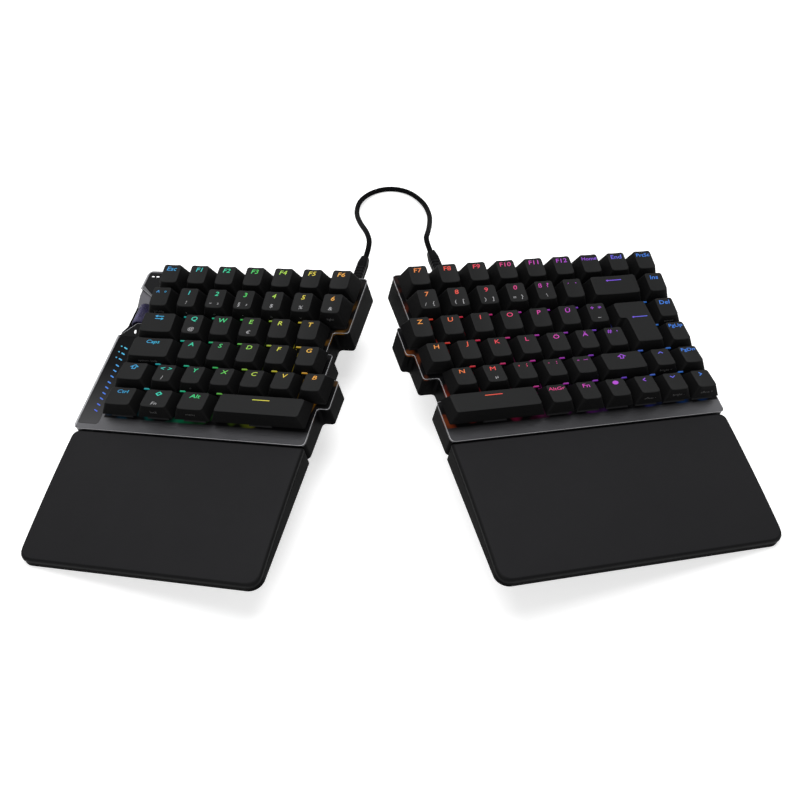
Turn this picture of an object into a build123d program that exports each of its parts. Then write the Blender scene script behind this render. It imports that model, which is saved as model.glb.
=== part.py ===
from build123d import *

import os
from dataclasses import dataclass
from math import pi, radians, tan

# Split ergonomic keyboard: two tented, splayed halves with palm rests, joined by a link cord.
# Millimetres, +Z up, z = 0 is the desk, -Y is towards the typist, origin under the middle.

os.makedirs("parts", exist_ok=True)

# Stance of the two halves on the desk
tent_angle = 11.95
splay_angle = 15.72
wedge_angle = 1.95
corner_reach = 155.85
left_corner_back = 122.55
right_corner_back = 126.65

# Key grid
unit = 19.05
key_gap = 0.95
cap_side_taper = 7.2
cap_travel = 3.6
cap_floor_gap = 0.3
cap_skirt_clearance = cap_travel + cap_floor_gap
cap_wall = 1.0
cap_ceiling = 2.0
cap_roof_wall = 1.2
cap_base_radius = 1.0
cap_top_radius = 2.0
dish_depth = 0.5
top_height_shares = (0.782, 0.761, 0.630, 0.583, 0.583, 0.577)
top_depth_shares = (0.704, 0.702, 0.716, 0.752, 0.716, 0.730)
top_tilt_angles = (8.8, 9.0, 6.6, 0.0, -5.1, -5.6)

# Case and top plate
plate_thickness = 1.6
plate_edge_chamfer = 0.4
rear_height = 18.4
rear_margin = 5.0
front_margin = 8.4
side_margin = 0.3
step_margin = 1.0
left_strip_width = 16.7
right_rim_width = 1.2
case_wall = 2.2
case_floor = 2.4
case_edge_radius = 1.2
outer_corner_radius = 3.0
step_corner_radius = 2.0
inner_corner_radius = 1.0
fit_gap = 0.2
overrun = 12.0

# Switches, board and foam
plate_hole = 14.0
housing_body = 13.8
housing_flange = 14.6
housing_rise = 4.4
housing_taper_angle = 28
board_depth = 5.0
board_thickness = 1.6
foam_thickness = 1.8
seat_gap = 0.05
slider_width = 6.6
slider_depth = 5.2
slider_low = 1.5
well_clearance = 0.3
well_depth = 3.6
spring_outer = 4.4
spring_wire = 0.5
spring_closed = 1.0
light_chip = 2.4
light_chip_rise = 0.8
controller_size = 7.0
controller_rise = 0.9

# Stabilisers under the wide keys
stab_width = 6.4
stab_depth = 11.0
stab_rise = 3.0
stab_taper_angle = 18
stab_slider = 3.6
stab_wire_radius = 0.8
stab_wire_depth = 2.9
stab_bend_radius = 1.6
stab_wire_back = 9.2
double_key_stab_reach = 11.94
space_key_stab_reach = 20.0

# Screws
boss_radius = 2.4
screw_radius = 0.95
screw_hole_radius = 1.05
screw_head_radius = 1.7
screw_head_height = 1.4
screw_head_depth = 9.2
screw_well_radius = 1.8
screw_bite = 1.1
socket_radius = 0.7
socket_depth = 0.8

# Ports, plugs and link cord
port_depth = 8.3
port_width = 9.0
port_height = 3.4
port_length = 7.0
port_wall = 0.3
port_tongue_width = 6.6
port_tongue_height = 0.7
left_link_place = 122.85
right_link_place = 34.7
computer_port_place = 42.0
plug_width = 6.2
plug_height = 6.0
plug_grip = 20.0
plug_neck = 5.1
plug_neck_width = 4.8
plug_corner = 1.4
plug_nose_width = 8.2
plug_nose_height = 2.3
plug_nose_length = 5.0
plug_nose_wall = 0.35
cord_diameter = 3.4
cord_exit_run = 12.0

# Volume wheel in its scoop on the left edge
wheel_radius = 5.2
wheel_length = 15.6
wheel_place = -8.7
wheel_rear = -22.9
wheel_sink = 4.5
wheel_groove_radius = 0.5
wheel_grooves = 24
axle_radius = 1.0
axle_clearance = 0.06
bay_clearance = 0.5
bay_wall = 2.0
scoop_rear = -10.4
scoop_rear_inner = -16.2
scoop_front_inner = -39.6
scoop_front = -49.6
scoop_inner = -2.6
scoop_knee = -7.6
scoop_depth = 4.6

# Smoked light bar and glossy indicator panel on the left edge
strip_inset = 1.0
strip_inner = -2.2
light_bar_rear = -50.8
light_bar_front_margin = 4.0
light_bar_radius = 1.8
indicator_rear = 3.4
indicator_knee = -7.4
indicator_front = -14.6

# Fold-out tent legs, rubber feet
left_leg_place = 98.0
right_leg_place = 34.0
leg_rear = -20.0
leg_width = 50.0
leg_thickness = 3.2
leg_barrel_radius = 2.0
leg_foot_thickness = 3.8
leg_foot_height = 4.0
leg_slack = 1.0
pivot_height = 2.3
pin_radius = 1.2
pin_clearance = 0.05
pin_grip = 4.0
recess_depth = 4.6
recess_roof = 1.5
foot_length = 42.0
foot_width = 8.0
foot_inset = 2.0
foot_rear = -8.0
foot_front = -78.0
foot_radius = 2.0

# Palm rests
rest_gap = 1.0
rest_length = 87.8
rest_rear_height = 13.3
rest_middle_height = 10.6
rest_front_height = 5.8
rest_middle_share = 0.49
rest_corner_radius = 8.0
rest_rear_radius = 5.0
rest_inner_rear_radius = 1.2
rest_edge_chamfer = 1.0
pad_thickness = 3.0
pad_seam = 0.05
tongue_width = 24.0
tongue_thickness = 2.4
tongue_length = 2.6
tongue_height = 6.4
tongue_shares = (0.2, 0.8)
rest_foot_length = 30.0


@dataclass
class Half:
    """One half of the keyboard, with its planes: base on the underside, deck on the top plate."""

    name: str
    side: int
    corner_x: float
    corner_y: float
    outer: float
    inner_shares: tuple
    start_shares: tuple
    width_shares: tuple
    screw_shares: tuple
    leg_place: float
    link_place: float

    @property
    def base(self):
        stance = Location((self.corner_x, self.corner_y, 0))
        stance *= Location((0, 0, 0), (0, 0, -self.side * splay_angle))
        stance *= Location((0, 0, 0), (0, -self.side * tent_angle, 0))
        return Plane(stance * Location((-self.outer, -rear_margin, 0)))

    @property
    def deck(self):
        wedge = Location((0, rear_margin, 0)) * Location((0, 0, 0), (wedge_angle, 0, 0))
        return Plane(self.base.location * wedge * Location((0, -rear_margin, rear_height)))

    def deck_plane(self, x, y, z, turn=(0, 0, 0)):
        return Plane(self.deck.location * Location((x, y, z), turn))

    def base_plane(self, x, y, z, turn=(0, 0, 0)):
        return Plane(self.base.location * Location((x, y, z), turn))

    @property
    def front(self):
        return -6 * unit - front_margin

    @property
    def narrowest(self):
        """The inner edge at the row that reaches least far inwards."""
        return self.side * min(self.side * share for share in self.inner_shares) * unit

    def inner(self, row):
        return self.inner_shares[row] * unit + self.side * side_margin

    def outline(self, inset=0):
        """Corner points of the stepped outline, drawn in by an inset, with each corner's radius."""
        outer = self.outer + self.side * inset
        corner = max(outer_corner_radius - inset, inner_corner_radius)
        points, radii = [(outer, rear_margin - inset)], [corner]
        points.append((self.inner(0) - self.side * inset, rear_margin - inset))
        radii.append(corner)
        for row in range(1, 6):
            last, now = self.inner(row - 1), self.inner(row)
            if last == now:
                continue
            grows = (now - last) * self.side > 0
            shift = step_margin - inset if grows else inset - step_margin
            step = -row * unit + shift
            points.append((last - self.side * inset, step))
            points.append((now - self.side * inset, step))
            step_radius = step_corner_radius if inset == 0 else inner_corner_radius
            radii += [step_radius, step_radius]
        points.append((self.inner(5) - self.side * inset, self.front + inset))
        points.append((outer, self.front + inset))
        return points, radii + [corner, corner]

    def keys(self):
        """Every key as (row, number in the row, centre x, centre y, width in key units)."""
        for row, (start, widths) in enumerate(zip(self.start_shares, self.width_shares)):
            left = start
            for number, width in enumerate(widths):
                if width > 0:
                    yield row, number, (left + width / 2) * unit, -(row + 0.5) * unit, width
                left += abs(width)

    def switch_places(self):
        """Switch centres: one under each key, and under the tall key between two rows."""
        places = [(x, y) for row, number, x, y, width in self.keys()]
        if self.side < 0:
            places.append((enter_x, enter_y))
        return places

    def stabilisers(self):
        """Wide keys' stabilisers as (centre x, centre y, reach, turn)."""
        if self.side > 0:
            return [(space_left_x, -5.5 * unit, space_key_stab_reach, 0)]
        return [
            (space_right_x, -5.5 * unit, space_key_stab_reach, 0),
            (7 * unit, -1.5 * unit, double_key_stab_reach, 0),
            (enter_x, enter_y, double_key_stab_reach, 90),
        ]


# A negative width share leaves the place of the tall key open in its row.
left = Half(
    name="left",
    side=1,
    corner_x=-corner_reach,
    corner_y=left_corner_back,
    outer=-left_strip_width,
    inner_shares=(7, 7, 6.5, 6.75, 7.25, 6.875),
    start_shares=(0, 0, 0, 0, 0, 0),
    width_shares=(
        (1,) * 7,
        (1,) * 7,
        (1.5,) + (1,) * 5,
        (1.75,) + (1,) * 5,
        (1.25,) + (1,) * 6,
        (1.25, 1.25, 1.25, 3.125),
    ),
    screw_shares=((0.4, -1), (3.2, -1), (6.6, -1), (0.4, -5), (3.2, -5), (6.4, -5)),
    leg_place=left_leg_place,
    link_place=left_link_place,
)
right = Half(
    name="right",
    side=-1,
    corner_x=corner_reach,
    corner_y=right_corner_back,
    outer=9 * unit + right_rim_width,
    inner_shares=(0, 0, -0.5, -0.25, 0.25, -0.125),
    start_shares=(0, 0, -0.5, -0.25, 0.25, -0.125),
    width_shares=(
        (1,) * 9,
        (1,) * 6 + (2, 1),
        (1,) * 7 + (-1.5, 1),
        (1,) * 7 + (-1.25, 1),
        (1,) * 5 + (1.75, 1, 1),
        (3.125,) + (1,) * 6,
    ),
    screw_shares=((0.6, -1), (4.6, -1), (8.6, -1), (0.8, -5), (4.6, -5), (8.6, -5)),
    leg_place=right_leg_place,
    link_place=right_link_place,
)
halves = (left, right)

# The tall key: 1.5 units wide at the top, 1.25 units at the bottom, over two rows.
enter_right = 8 * unit
enter_top_left = 6.5 * unit
enter_low_left = 6.75 * unit
enter_x = (enter_low_left + enter_right) / 2
enter_y = -3 * unit
lug_overhang = 0.3
space_left_x = (3.75 + 3.125 / 2) * unit
space_right_x = (-0.125 + 3.125 / 2) * unit

# Casings


def wheel_bay_points(grow):
    """Corners of the wheel's bay in the deck plane, grown by an amount on every side."""
    reach = wheel_radius + bay_clearance + grow
    rear = wheel_rear + bay_clearance + grow
    front = wheel_rear - wheel_length - bay_clearance - grow
    return (wheel_place - reach, rear), (wheel_place + reach, front)


def rectangle_between(corner_a, corner_b):
    """A rectangle through two opposite corners, as centre and size."""
    (ax, ay), (bx, by) = corner_a, corner_b
    return ((ax + bx) / 2, (ay + by) / 2), abs(bx - ax), abs(by - ay)


def recess_span(half):
    """The folded leg's recess on the underside: x of both ends, y of both ends."""
    length = leg_length(half)
    near = half.leg_place + half.side * (leg_barrel_radius + leg_slack)
    far = half.leg_place - half.side * (length + leg_slack)
    return (near, leg_rear + leg_slack), (far, leg_rear - leg_width - leg_slack)


def leg_length(half):
    """From the pivot straight down to the desk."""
    run = abs(half.leg_place - half.outer)
    return pivot_height + run * tan(radians(tent_angle))


for half in halves:
    outline_points, outline_radii = half.outline()
    cavity_points, cavity_radii = half.outline(case_wall)

    with BuildPart() as cavity:
        with BuildSketch(half.deck.offset(-plate_thickness)):
            with BuildLine():
                FilletPolyline(*cavity_points, radius=cavity_radii, close=True)
            make_face()
        extrude(amount=-2 * rear_height)
        split(bisect_by=half.base.offset(case_floor), keep=Keep.TOP)

    screw_places = [(x * unit, y * unit) for x, y in half.screw_shares]
    with BuildPart() as bosses:
        with BuildSketch(half.deck.offset(-plate_thickness)):
            with Locations(*screw_places):
                Circle(boss_radius)
        extrude(amount=-2 * rear_height)
        split(bisect_by=half.base, keep=Keep.TOP)

    with BuildPart() as base_case:
        with BuildSketch(half.deck.offset(-plate_thickness)):
            with BuildLine():
                FilletPolyline(*outline_points, radius=outline_radii, close=True)
            make_face()
        extrude(amount=-2 * rear_height)
        split(bisect_by=half.base, keep=Keep.TOP)
        under = base_case.faces().sort_by(Axis(half.base.origin, half.base.z_dir))[0]
        fillet(under.edges(), case_edge_radius)
        add(cavity.part, mode=Mode.SUBTRACT)

        # roof over the folded leg's recess, then the recess itself
        recess_centre, recess_wide, recess_long = rectangle_between(*recess_span(half))
        with BuildSketch(half.base.offset(case_floor / 2)):
            with Locations(recess_centre):
                Rectangle(recess_wide + 2 * recess_roof, recess_long + 2 * (pin_grip + recess_roof))
        extrude(amount=recess_depth + recess_roof - case_floor / 2)
        with BuildSketch(half.base.offset(-overrun)):
            with Locations(recess_centre):
                Rectangle(recess_wide, recess_long)
        extrude(amount=overrun + recess_depth, mode=Mode.SUBTRACT)
        pin_start = leg_rear + leg_slack + pin_grip
        with BuildSketch(half.base_plane(half.leg_place, pin_start, pivot_height, (90, 0, 0))):
            Circle(pin_radius)
        extrude(amount=leg_width + 2 * (leg_slack + pin_grip), mode=Mode.SUBTRACT)

        # bosses for the screws that hold the plate from below
        add(bosses.part)
        with BuildSketch(half.deck.offset(-plate_thickness)):
            with Locations(*screw_places):
                Circle(screw_hole_radius)
        extrude(amount=-2 * rear_height, mode=Mode.SUBTRACT)
        with BuildSketch(half.deck.offset(-screw_head_depth)):
            with Locations(*screw_places):
                Circle(screw_well_radius)
        extrude(amount=-2 * rear_height, mode=Mode.SUBTRACT)

        # ports through the rear wall
        port_places = [half.link_place] + ([computer_port_place] if half is left else [])
        for place in port_places:
            with BuildSketch(half.deck_plane(place, rear_margin + overrun, -port_depth, (90, 0, 0))):
                SlotOverall(port_width + 2 * fit_gap, port_height + 2 * fit_gap)
            extrude(amount=overrun + 2 * case_wall, mode=Mode.SUBTRACT)

        # slots in the front wall for the palm rest's tongues
        for share in tongue_shares:
            tongue_x = half.outer + share * (half.inner(5) - half.outer)
            slot_plane = half.base_plane(tongue_x, half.front - overrun, tongue_height, (-90, 0, 0))
            with BuildSketch(slot_plane):
                Rectangle(tongue_width + 2 * fit_gap, tongue_thickness + 2 * fit_gap)
            extrude(amount=overrun + 2 * case_wall, mode=Mode.SUBTRACT)

        if half is left:
            # the wheel's bay: a walled block with a pocket, and the scoop beside it
            bay_centre, bay_wide, bay_long = rectangle_between(*wheel_bay_points(0))
            bay_height = wheel_sink + wheel_radius + bay_clearance - plate_thickness
            with BuildSketch(half.deck.offset(-plate_thickness)):
                with Locations(((half.outer + scoop_inner) / 2, (scoop_rear + scoop_front) / 2)):
                    Rectangle(scoop_inner - half.outer - 2 * case_wall, scoop_rear - scoop_front)
            extrude(amount=-(bay_height + bay_wall))
            with BuildSketch(half.deck):
                with Locations(bay_centre):
                    Rectangle(bay_wide, bay_long)
            extrude(amount=-(bay_height + plate_thickness), mode=Mode.SUBTRACT)
            # slanted facets lead down to the wheel from both ends
            with BuildPart(mode=Mode.PRIVATE) as scoop:
                with BuildSketch(half.deck_plane(half.outer - overrun, 0, 0, (90, 90, 0))):
                    with BuildLine():
                        Polyline(
                            (scoop_rear, 0),
                            (wheel_rear + bay_clearance, -scoop_depth),
                            (wheel_rear - wheel_length - bay_clearance, -scoop_depth),
                            (scoop_front, 0),
                            close=True,
                        )
                    make_face()
                extrude(amount=overrun + scoop_inner - half.outer)
            add(scoop.part, mode=Mode.SUBTRACT)
            axle_y = wheel_rear + bay_clearance + bay_wall
            with BuildSketch(half.deck_plane(wheel_place, axle_y, -wheel_sink, (90, 0, 0))):
                Circle(axle_radius)
            extrude(amount=wheel_length + 2 * (bay_clearance + bay_wall), mode=Mode.SUBTRACT)

    base_case.part.label = f"{half.name}_base_case"
    export_step(base_case.part, f"parts/{half.name}_base_case.step")

    with BuildPart() as top_plate:
        with BuildSketch(half.deck.offset(-plate_thickness)):
            with BuildLine():
                FilletPolyline(*outline_points, radius=outline_radii, close=True)
            make_face()
        extrude(amount=plate_thickness)
        upper = top_plate.faces().sort_by(Axis(half.deck.origin, half.deck.z_dir))[-1]
        chamfer(upper.edges(), plate_edge_chamfer)
        with BuildSketch(half.deck):
            with Locations(*half.switch_places()):
                Rectangle(plate_hole, plate_hole)
            for x, y, reach, turn in half.stabilisers():
                with Locations(Location((x, y), turn)):
                    with Locations((-reach, 0), (reach, 0)):
                        Rectangle(stab_width + fit_gap, stab_depth + fit_gap)
        extrude(amount=-plate_thickness, mode=Mode.SUBTRACT)
        with BuildSketch(half.deck.offset(-plate_thickness)):
            with Locations(*screw_places):
                Circle(screw_radius)
        extrude(amount=screw_bite, mode=Mode.SUBTRACT)
        if half is left:
            with BuildSketch(half.deck):
                with BuildLine():
                    Polyline(
                        (half.outer - overrun, scoop_rear),
                        (half.outer + strip_inset, scoop_rear),
                        (scoop_knee, scoop_rear_inner),
                        (scoop_inner, scoop_rear_inner),
                        (scoop_inner, scoop_front_inner),
                        (scoop_knee, scoop_front_inner),
                        (half.outer + strip_inset, scoop_front),
                        (half.outer - overrun, scoop_front),
                        close=True,
                    )
                make_face()
                bar_left = half.outer + strip_inset - fit_gap
                bar_low = (bar_left, half.front + light_bar_front_margin - fit_gap)
                bar_high = (strip_inner + fit_gap, light_bar_rear + fit_gap)
                bar_centre, bar_wide, bar_long = rectangle_between(bar_low, bar_high)
                with Locations(bar_centre):
                    RectangleRounded(bar_wide, bar_long, light_bar_radius + fit_gap)
                with BuildLine():
                    Polyline(
                        (half.outer + strip_inset - fit_gap, indicator_rear + fit_gap),
                        (strip_inner + fit_gap, indicator_rear + fit_gap),
                        (strip_inner + fit_gap, indicator_front - fit_gap),
                        (scoop_knee - fit_gap, indicator_front - fit_gap),
                        (half.outer + strip_inset - fit_gap, indicator_knee - fit_gap),
                        close=True,
                    )
                make_face()
            extrude(amount=-plate_thickness, mode=Mode.SUBTRACT)
    top_plate.part.label = f"{half.name}_top_plate"
    export_step(top_plate.part, f"parts/{half.name}_top_plate.step")

    # Board with its chips, damping foam under it
    board_inset = case_wall + 2 * fit_gap
    board_points, board_radii = half.outline(board_inset)
    with BuildPart() as circuit_board:
        with BuildSketch(half.deck.offset(-board_depth)):
            with BuildLine():
                FilletPolyline(*board_points, radius=board_radii, close=True)
            make_face()
            with Locations(*screw_places):
                Circle(boss_radius + fit_gap, mode=Mode.SUBTRACT)
            if half is left:
                bay_centre, bay_wide, bay_long = rectangle_between(
                    (half.outer, scoop_rear + fit_gap), (scoop_inner + fit_gap, scoop_front - fit_gap)
                )
                with Locations(bay_centre):
                    Rectangle(bay_wide, bay_long, mode=Mode.SUBTRACT)
        extrude(amount=-board_thickness)
        if half is left:
            chip_rows = 12
            chip_pitch = (light_bar_rear - half.front - light_bar_front_margin) / (chip_rows + 1)
            chip_places = [
                (wheel_place, light_bar_rear - (row + 1) * chip_pitch) for row in range(chip_rows)
            ]
            with BuildSketch(half.deck.offset(-board_depth)):
                with Locations(*chip_places):
                    Rectangle(light_chip, light_chip)
            extrude(amount=light_chip_rise)
        else:
            with BuildSketch(half.deck.offset(-board_depth)):
                with Locations((enter_x, half.front + controller_size)):
                    Rectangle(controller_size, controller_size / 2)
            extrude(amount=controller_rise)
    circuit_board.part.label = f"{half.name}_circuit_board"
    export_step(circuit_board.part, f"parts/{half.name}_circuit_board.step")

    with BuildPart() as foam:
        with BuildSketch(half.deck.offset(-board_depth - board_thickness)):
            foam_margin = board_inset + case_wall
            foam_centre, foam_wide, foam_long = rectangle_between(
                (half.outer + half.side * foam_margin, half.front + foam_margin),
                (half.narrowest - half.side * foam_margin, rear_margin - port_length - foam_margin),
            )
            with Locations(foam_centre):
                Rectangle(foam_wide, foam_long)
            with Locations(*screw_places):
                Circle(boss_radius + fit_gap, mode=Mode.SUBTRACT)
            if half is left:
                with Locations(bay_centre):
                    Rectangle(bay_wide, bay_long, mode=Mode.SUBTRACT)
        extrude(amount=-foam_thickness)
    foam.part.label = f"{half.name}_damping_foam"
    export_step(foam.part, f"parts/{half.name}_damping_foam.step")

    # Switch housings with their springs, drawn at the springs' closed height
    with BuildPart() as switches:
        with BuildSketch(half.deck.offset(seat_gap - board_depth)):
            with Locations(*half.switch_places()):
                Rectangle(housing_body, housing_body)
        extrude(amount=board_depth - seat_gap)
        with BuildSketch(half.deck):
            with Locations(*half.switch_places()):
                Rectangle(housing_flange, housing_flange)
        extrude(amount=housing_rise, taper=housing_taper_angle)
        with BuildSketch(half.deck.offset(-well_depth)):
            with Locations(*half.switch_places()):
                Rectangle(slider_width + 2 * well_clearance, slider_depth + 2 * well_clearance)
        extrude(amount=well_depth + housing_rise, mode=Mode.SUBTRACT)
        with BuildSketch(half.deck.offset(seat_gap - well_depth)):
            with Locations(*half.switch_places()):
                Circle(spring_outer / 2)
                Circle(spring_outer / 2 - spring_wire, mode=Mode.SUBTRACT)
        extrude(amount=spring_closed)
    switches.part.label = f"{half.name}_switches"
    export_step(switches.part, f"parts/{half.name}_switches.step")

    # Stabiliser housings and their wires under the plate
    with BuildPart() as stabiliser:
        for x, y, reach, turn in half.stabilisers():
            middle = half.deck_plane(x, y, 0, (0, 0, turn))
            for place in (-reach, reach):
                with BuildSketch(middle.offset(seat_gap - board_depth)):
                    with Locations((place, 0)):
                        Rectangle(stab_width, stab_depth)
                extrude(amount=board_depth - seat_gap)
                with BuildSketch(middle):
                    with Locations((place, 0)):
                        Rectangle(stab_width, stab_depth)
                extrude(amount=stab_rise, taper=stab_taper_angle)
                with BuildSketch(middle.offset(-well_depth)):
                    with Locations((place, 0)):
                        Rectangle(stab_slider + 2 * well_clearance, stab_slider + 2 * well_clearance)
                extrude(amount=well_depth + stab_rise, mode=Mode.SUBTRACT)
            wire_end = -stab_depth / 2 - fit_gap
            with BuildLine(middle.offset(-stab_wire_depth)) as wire_path:
                FilletPolyline(
                    (-reach, wire_end),
                    (-reach, -stab_wire_back),
                    (reach, -stab_wire_back),
                    (reach, wire_end),
                    radius=stab_bend_radius,
                )
            with BuildSketch(Plane(wire_path.line @ 0, z_dir=wire_path.line % 0)):
                Circle(stab_wire_radius)
            sweep(path=wire_path.line)
    stabiliser.part.label = f"{half.name}_stabilisers"
    export_step(stabiliser.part, f"parts/{half.name}_stabilisers.step")

    # Screws from below, with hexagon sockets
    with BuildPart() as screws:
        with BuildSketch(half.deck.offset(-screw_head_depth)):
            with Locations(*screw_places):
                Circle(screw_head_radius)
        extrude(amount=-screw_head_height)
        with BuildSketch(half.deck.offset(-screw_head_depth)):
            with Locations(*screw_places):
                Circle(screw_radius)
        extrude(amount=screw_head_depth - plate_thickness + screw_bite - fit_gap)
        with BuildSketch(half.deck.offset(-screw_head_depth - screw_head_height)):
            with Locations(*screw_places):
                RegularPolygon(socket_radius, 6)
        extrude(amount=socket_depth, mode=Mode.SUBTRACT)
    screws.part.label = f"{half.name}_screws"
    export_step(screws.part, f"parts/{half.name}_screws.step")

    # Tent leg on its pin, cut level with the desk
    leg_plane = half.base_plane(half.leg_place, leg_rear, pivot_height, (90, 0, 0))
    drop = leg_length(half)
    with BuildPart() as tent_leg:
        with BuildSketch(leg_plane):
            Circle(leg_barrel_radius)
            with Locations((0, -drop / 2)):
                Rectangle(leg_thickness, drop)
            with Locations((0, -drop)):
                Rectangle(leg_foot_thickness, 2 * leg_foot_height)
            Circle(pin_radius + pin_clearance, mode=Mode.SUBTRACT)
        extrude(amount=leg_width)
        split(bisect_by=Plane.XY, keep=Keep.TOP)
    tent_leg.part.label = f"{half.name}_tent_leg"
    export_step(tent_leg.part, f"parts/{half.name}_tent_leg.step")

    with BuildPart() as leg_pin:
        with BuildSketch(half.base_plane(half.leg_place, pin_start, pivot_height, (90, 0, 0))):
            Circle(pin_radius)
        extrude(amount=leg_width + 2 * (leg_slack + pin_grip))
    leg_pin.part.label = f"{half.name}_leg_pin"
    export_step(leg_pin.part, f"parts/{half.name}_leg_pin.step")

    # Palm rest: a rigid base with tongues, and the soft-touch pad on it
    rest_rear = half.front - rest_gap
    rest_front = rest_rear - rest_length
    rest_middle = rest_rear - rest_middle_share * rest_length
    rest_corners = [
        (half.outer, rest_rear),
        (half.inner(5), rest_rear),
        (half.inner(5), rest_front),
        (half.outer, rest_front),
    ]
    rest_radii = [rest_rear_radius, rest_inner_rear_radius, rest_corner_radius, rest_corner_radius]

    with BuildPart() as rest_base:
        with BuildSketch(half.base):
            with BuildLine():
                FilletPolyline(*rest_corners, radius=rest_radii, close=True)
            make_face()
        extrude(amount=rest_rear_height + overrun)
        with BuildSketch(half.base_plane(0, 0, 0, (90, 90, 0))):
            with BuildLine():
                Polyline(
                    (rest_rear, rest_rear_height - pad_thickness),
                    (rest_middle, rest_middle_height - pad_thickness),
                    (rest_front, rest_front_height - pad_thickness),
                    (rest_front, 0),
                    (rest_rear, 0),
                    close=True,
                )
            make_face()
        extrude(amount=2 * abs(half.outer) + 9 * unit, both=True, mode=Mode.INTERSECT)
        for share in tongue_shares:
            tongue_x = half.outer + share * (half.inner(5) - half.outer)
            with BuildSketch(half.base_plane(tongue_x, rest_rear, tongue_height, (-90, 0, 0))):
                Rectangle(tongue_width, tongue_thickness)
            extrude(amount=tongue_length)
    rest_base.part.label = f"{half.name}_palm_rest_base"
    export_step(rest_base.part, f"parts/{half.name}_palm_rest_base.step")

    with BuildPart() as rest_pad:
        with BuildSketch(half.base):
            with BuildLine():
                FilletPolyline(*rest_corners, radius=rest_radii, close=True)
            make_face()
        extrude(amount=rest_rear_height + overrun)
        with BuildSketch(half.base_plane(0, 0, 0, (90, 90, 0))):
            pad_lift = pad_seam - pad_thickness
            with BuildLine():
                upper_rear = (rest_rear, rest_rear_height)
                upper_front = (rest_front, rest_front_height)
                ThreePointArc(upper_rear, (rest_middle, rest_middle_height), upper_front)
                Polyline(
                    upper_front,
                    (rest_front, rest_front_height + pad_lift),
                    (rest_middle, rest_middle_height + pad_lift),
                    (rest_rear, rest_rear_height + pad_lift),
                    upper_rear,
                )
            make_face()
        extrude(amount=2 * abs(half.outer) + 9 * unit, both=True, mode=Mode.INTERSECT)
        crown = rest_pad.faces().sort_by(Axis(half.base.origin, half.base.z_dir))[-1]
        chamfer(crown.edges(), rest_edge_chamfer)
    rest_pad.part.label = f"{half.name}_palm_rest_pad"
    export_step(rest_pad.part, f"parts/{half.name}_palm_rest_pad.step")

    # Wedge-shaped rubber feet along the outer edge, cut level with the desk
    foot_x = half.outer + half.side * (foot_inset + foot_width / 2)
    rest_foot_y = rest_front + rest_corner_radius + rest_foot_length / 2
    foot_places = (
        (foot_rear - foot_length / 2, foot_length),
        (foot_front - foot_length / 2, foot_length),
        (rest_foot_y, rest_foot_length),
    )
    with BuildPart() as rubber_feet:
        for foot_y, long in foot_places:
            with BuildSketch(half.base):
                with Locations((foot_x, foot_y)):
                    RectangleRounded(foot_width, long, foot_radius)
            extrude(amount=-foot_width)
        split(bisect_by=Plane.XY, keep=Keep.TOP)
    rubber_feet.part.label = f"{half.name}_rubber_feet"
    export_step(rubber_feet.part, f"parts/{half.name}_rubber_feet.step")

    # Metal port shells behind the rear wall
    with BuildPart() as ports:
        for place in port_places:
            port_plane = half.deck_plane(place, rear_margin - fit_gap, -port_depth, (90, 0, 0))
            with BuildSketch(port_plane):
                SlotOverall(port_width, port_height)
                SlotOverall(port_width - 2 * port_wall, port_height - 2 * port_wall, mode=Mode.SUBTRACT)
            extrude(amount=port_length)
            with BuildSketch(port_plane.offset(port_length)):
                SlotOverall(port_width, port_height)
            extrude(amount=port_wall)
            with BuildSketch(port_plane.offset(port_length)):
                Rectangle(port_tongue_width, port_tongue_height)
            extrude(amount=-(port_length - 2 * fit_gap))
    ports.part.label = f"{half.name}_ports"
    export_step(ports.part, f"parts/{half.name}_ports.step")

# Left edge: volume wheel on its axle, smoked light bar, glossy indicator panel

wheel_plane = left.deck_plane(wheel_place, wheel_rear, -wheel_sink, (90, 0, 0))
with BuildPart() as volume_wheel:
    with BuildSketch(wheel_plane):
        Circle(wheel_radius)
        with PolarLocations(wheel_radius, wheel_grooves):
            Circle(wheel_groove_radius, mode=Mode.SUBTRACT)
        Circle(axle_radius + axle_clearance, mode=Mode.SUBTRACT)
    extrude(amount=wheel_length)
volume_wheel.part.label = "volume_wheel"
export_step(volume_wheel.part, "parts/volume_wheel.step")

axle_start = wheel_rear + bay_clearance + bay_wall
with BuildPart() as wheel_axle:
    with BuildSketch(left.deck_plane(wheel_place, axle_start, -wheel_sink, (90, 0, 0))):
        Circle(axle_radius)
    extrude(amount=wheel_length + 2 * (bay_clearance + bay_wall))
wheel_axle.part.label = "wheel_axle"
export_step(wheel_axle.part, "parts/wheel_axle.step")

with BuildPart() as light_bar:
    with BuildSketch(left.deck.offset(-plate_thickness)):
        bar_low = (left.outer + strip_inset, left.front + light_bar_front_margin)
        bar_centre, bar_wide, bar_long = rectangle_between(bar_low, (strip_inner, light_bar_rear))
        with Locations(bar_centre):
            RectangleRounded(bar_wide, bar_long, light_bar_radius)
    extrude(amount=plate_thickness)
light_bar.part.label = "light_bar"
export_step(light_bar.part, "parts/light_bar.step")

with BuildPart() as indicator_panel:
    with BuildSketch(left.deck.offset(-plate_thickness)):
        with BuildLine():
            Polyline(
                (left.outer + strip_inset, indicator_rear),
                (strip_inner, indicator_rear),
                (strip_inner, indicator_front),
                (scoop_knee, indicator_front),
                (left.outer + strip_inset, indicator_knee),
                close=True,
            )
        make_face()
    extrude(amount=plate_thickness)
indicator_panel.part.label = "indicator_panel"
export_step(indicator_panel.part, "parts/indicator_panel.step")

# Keycaps with their sliders


def rounded_cap_face(wide, deep, radius):
    with BuildSketch() as face:
        RectangleRounded(wide, deep, radius)
    return face.sketch


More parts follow.
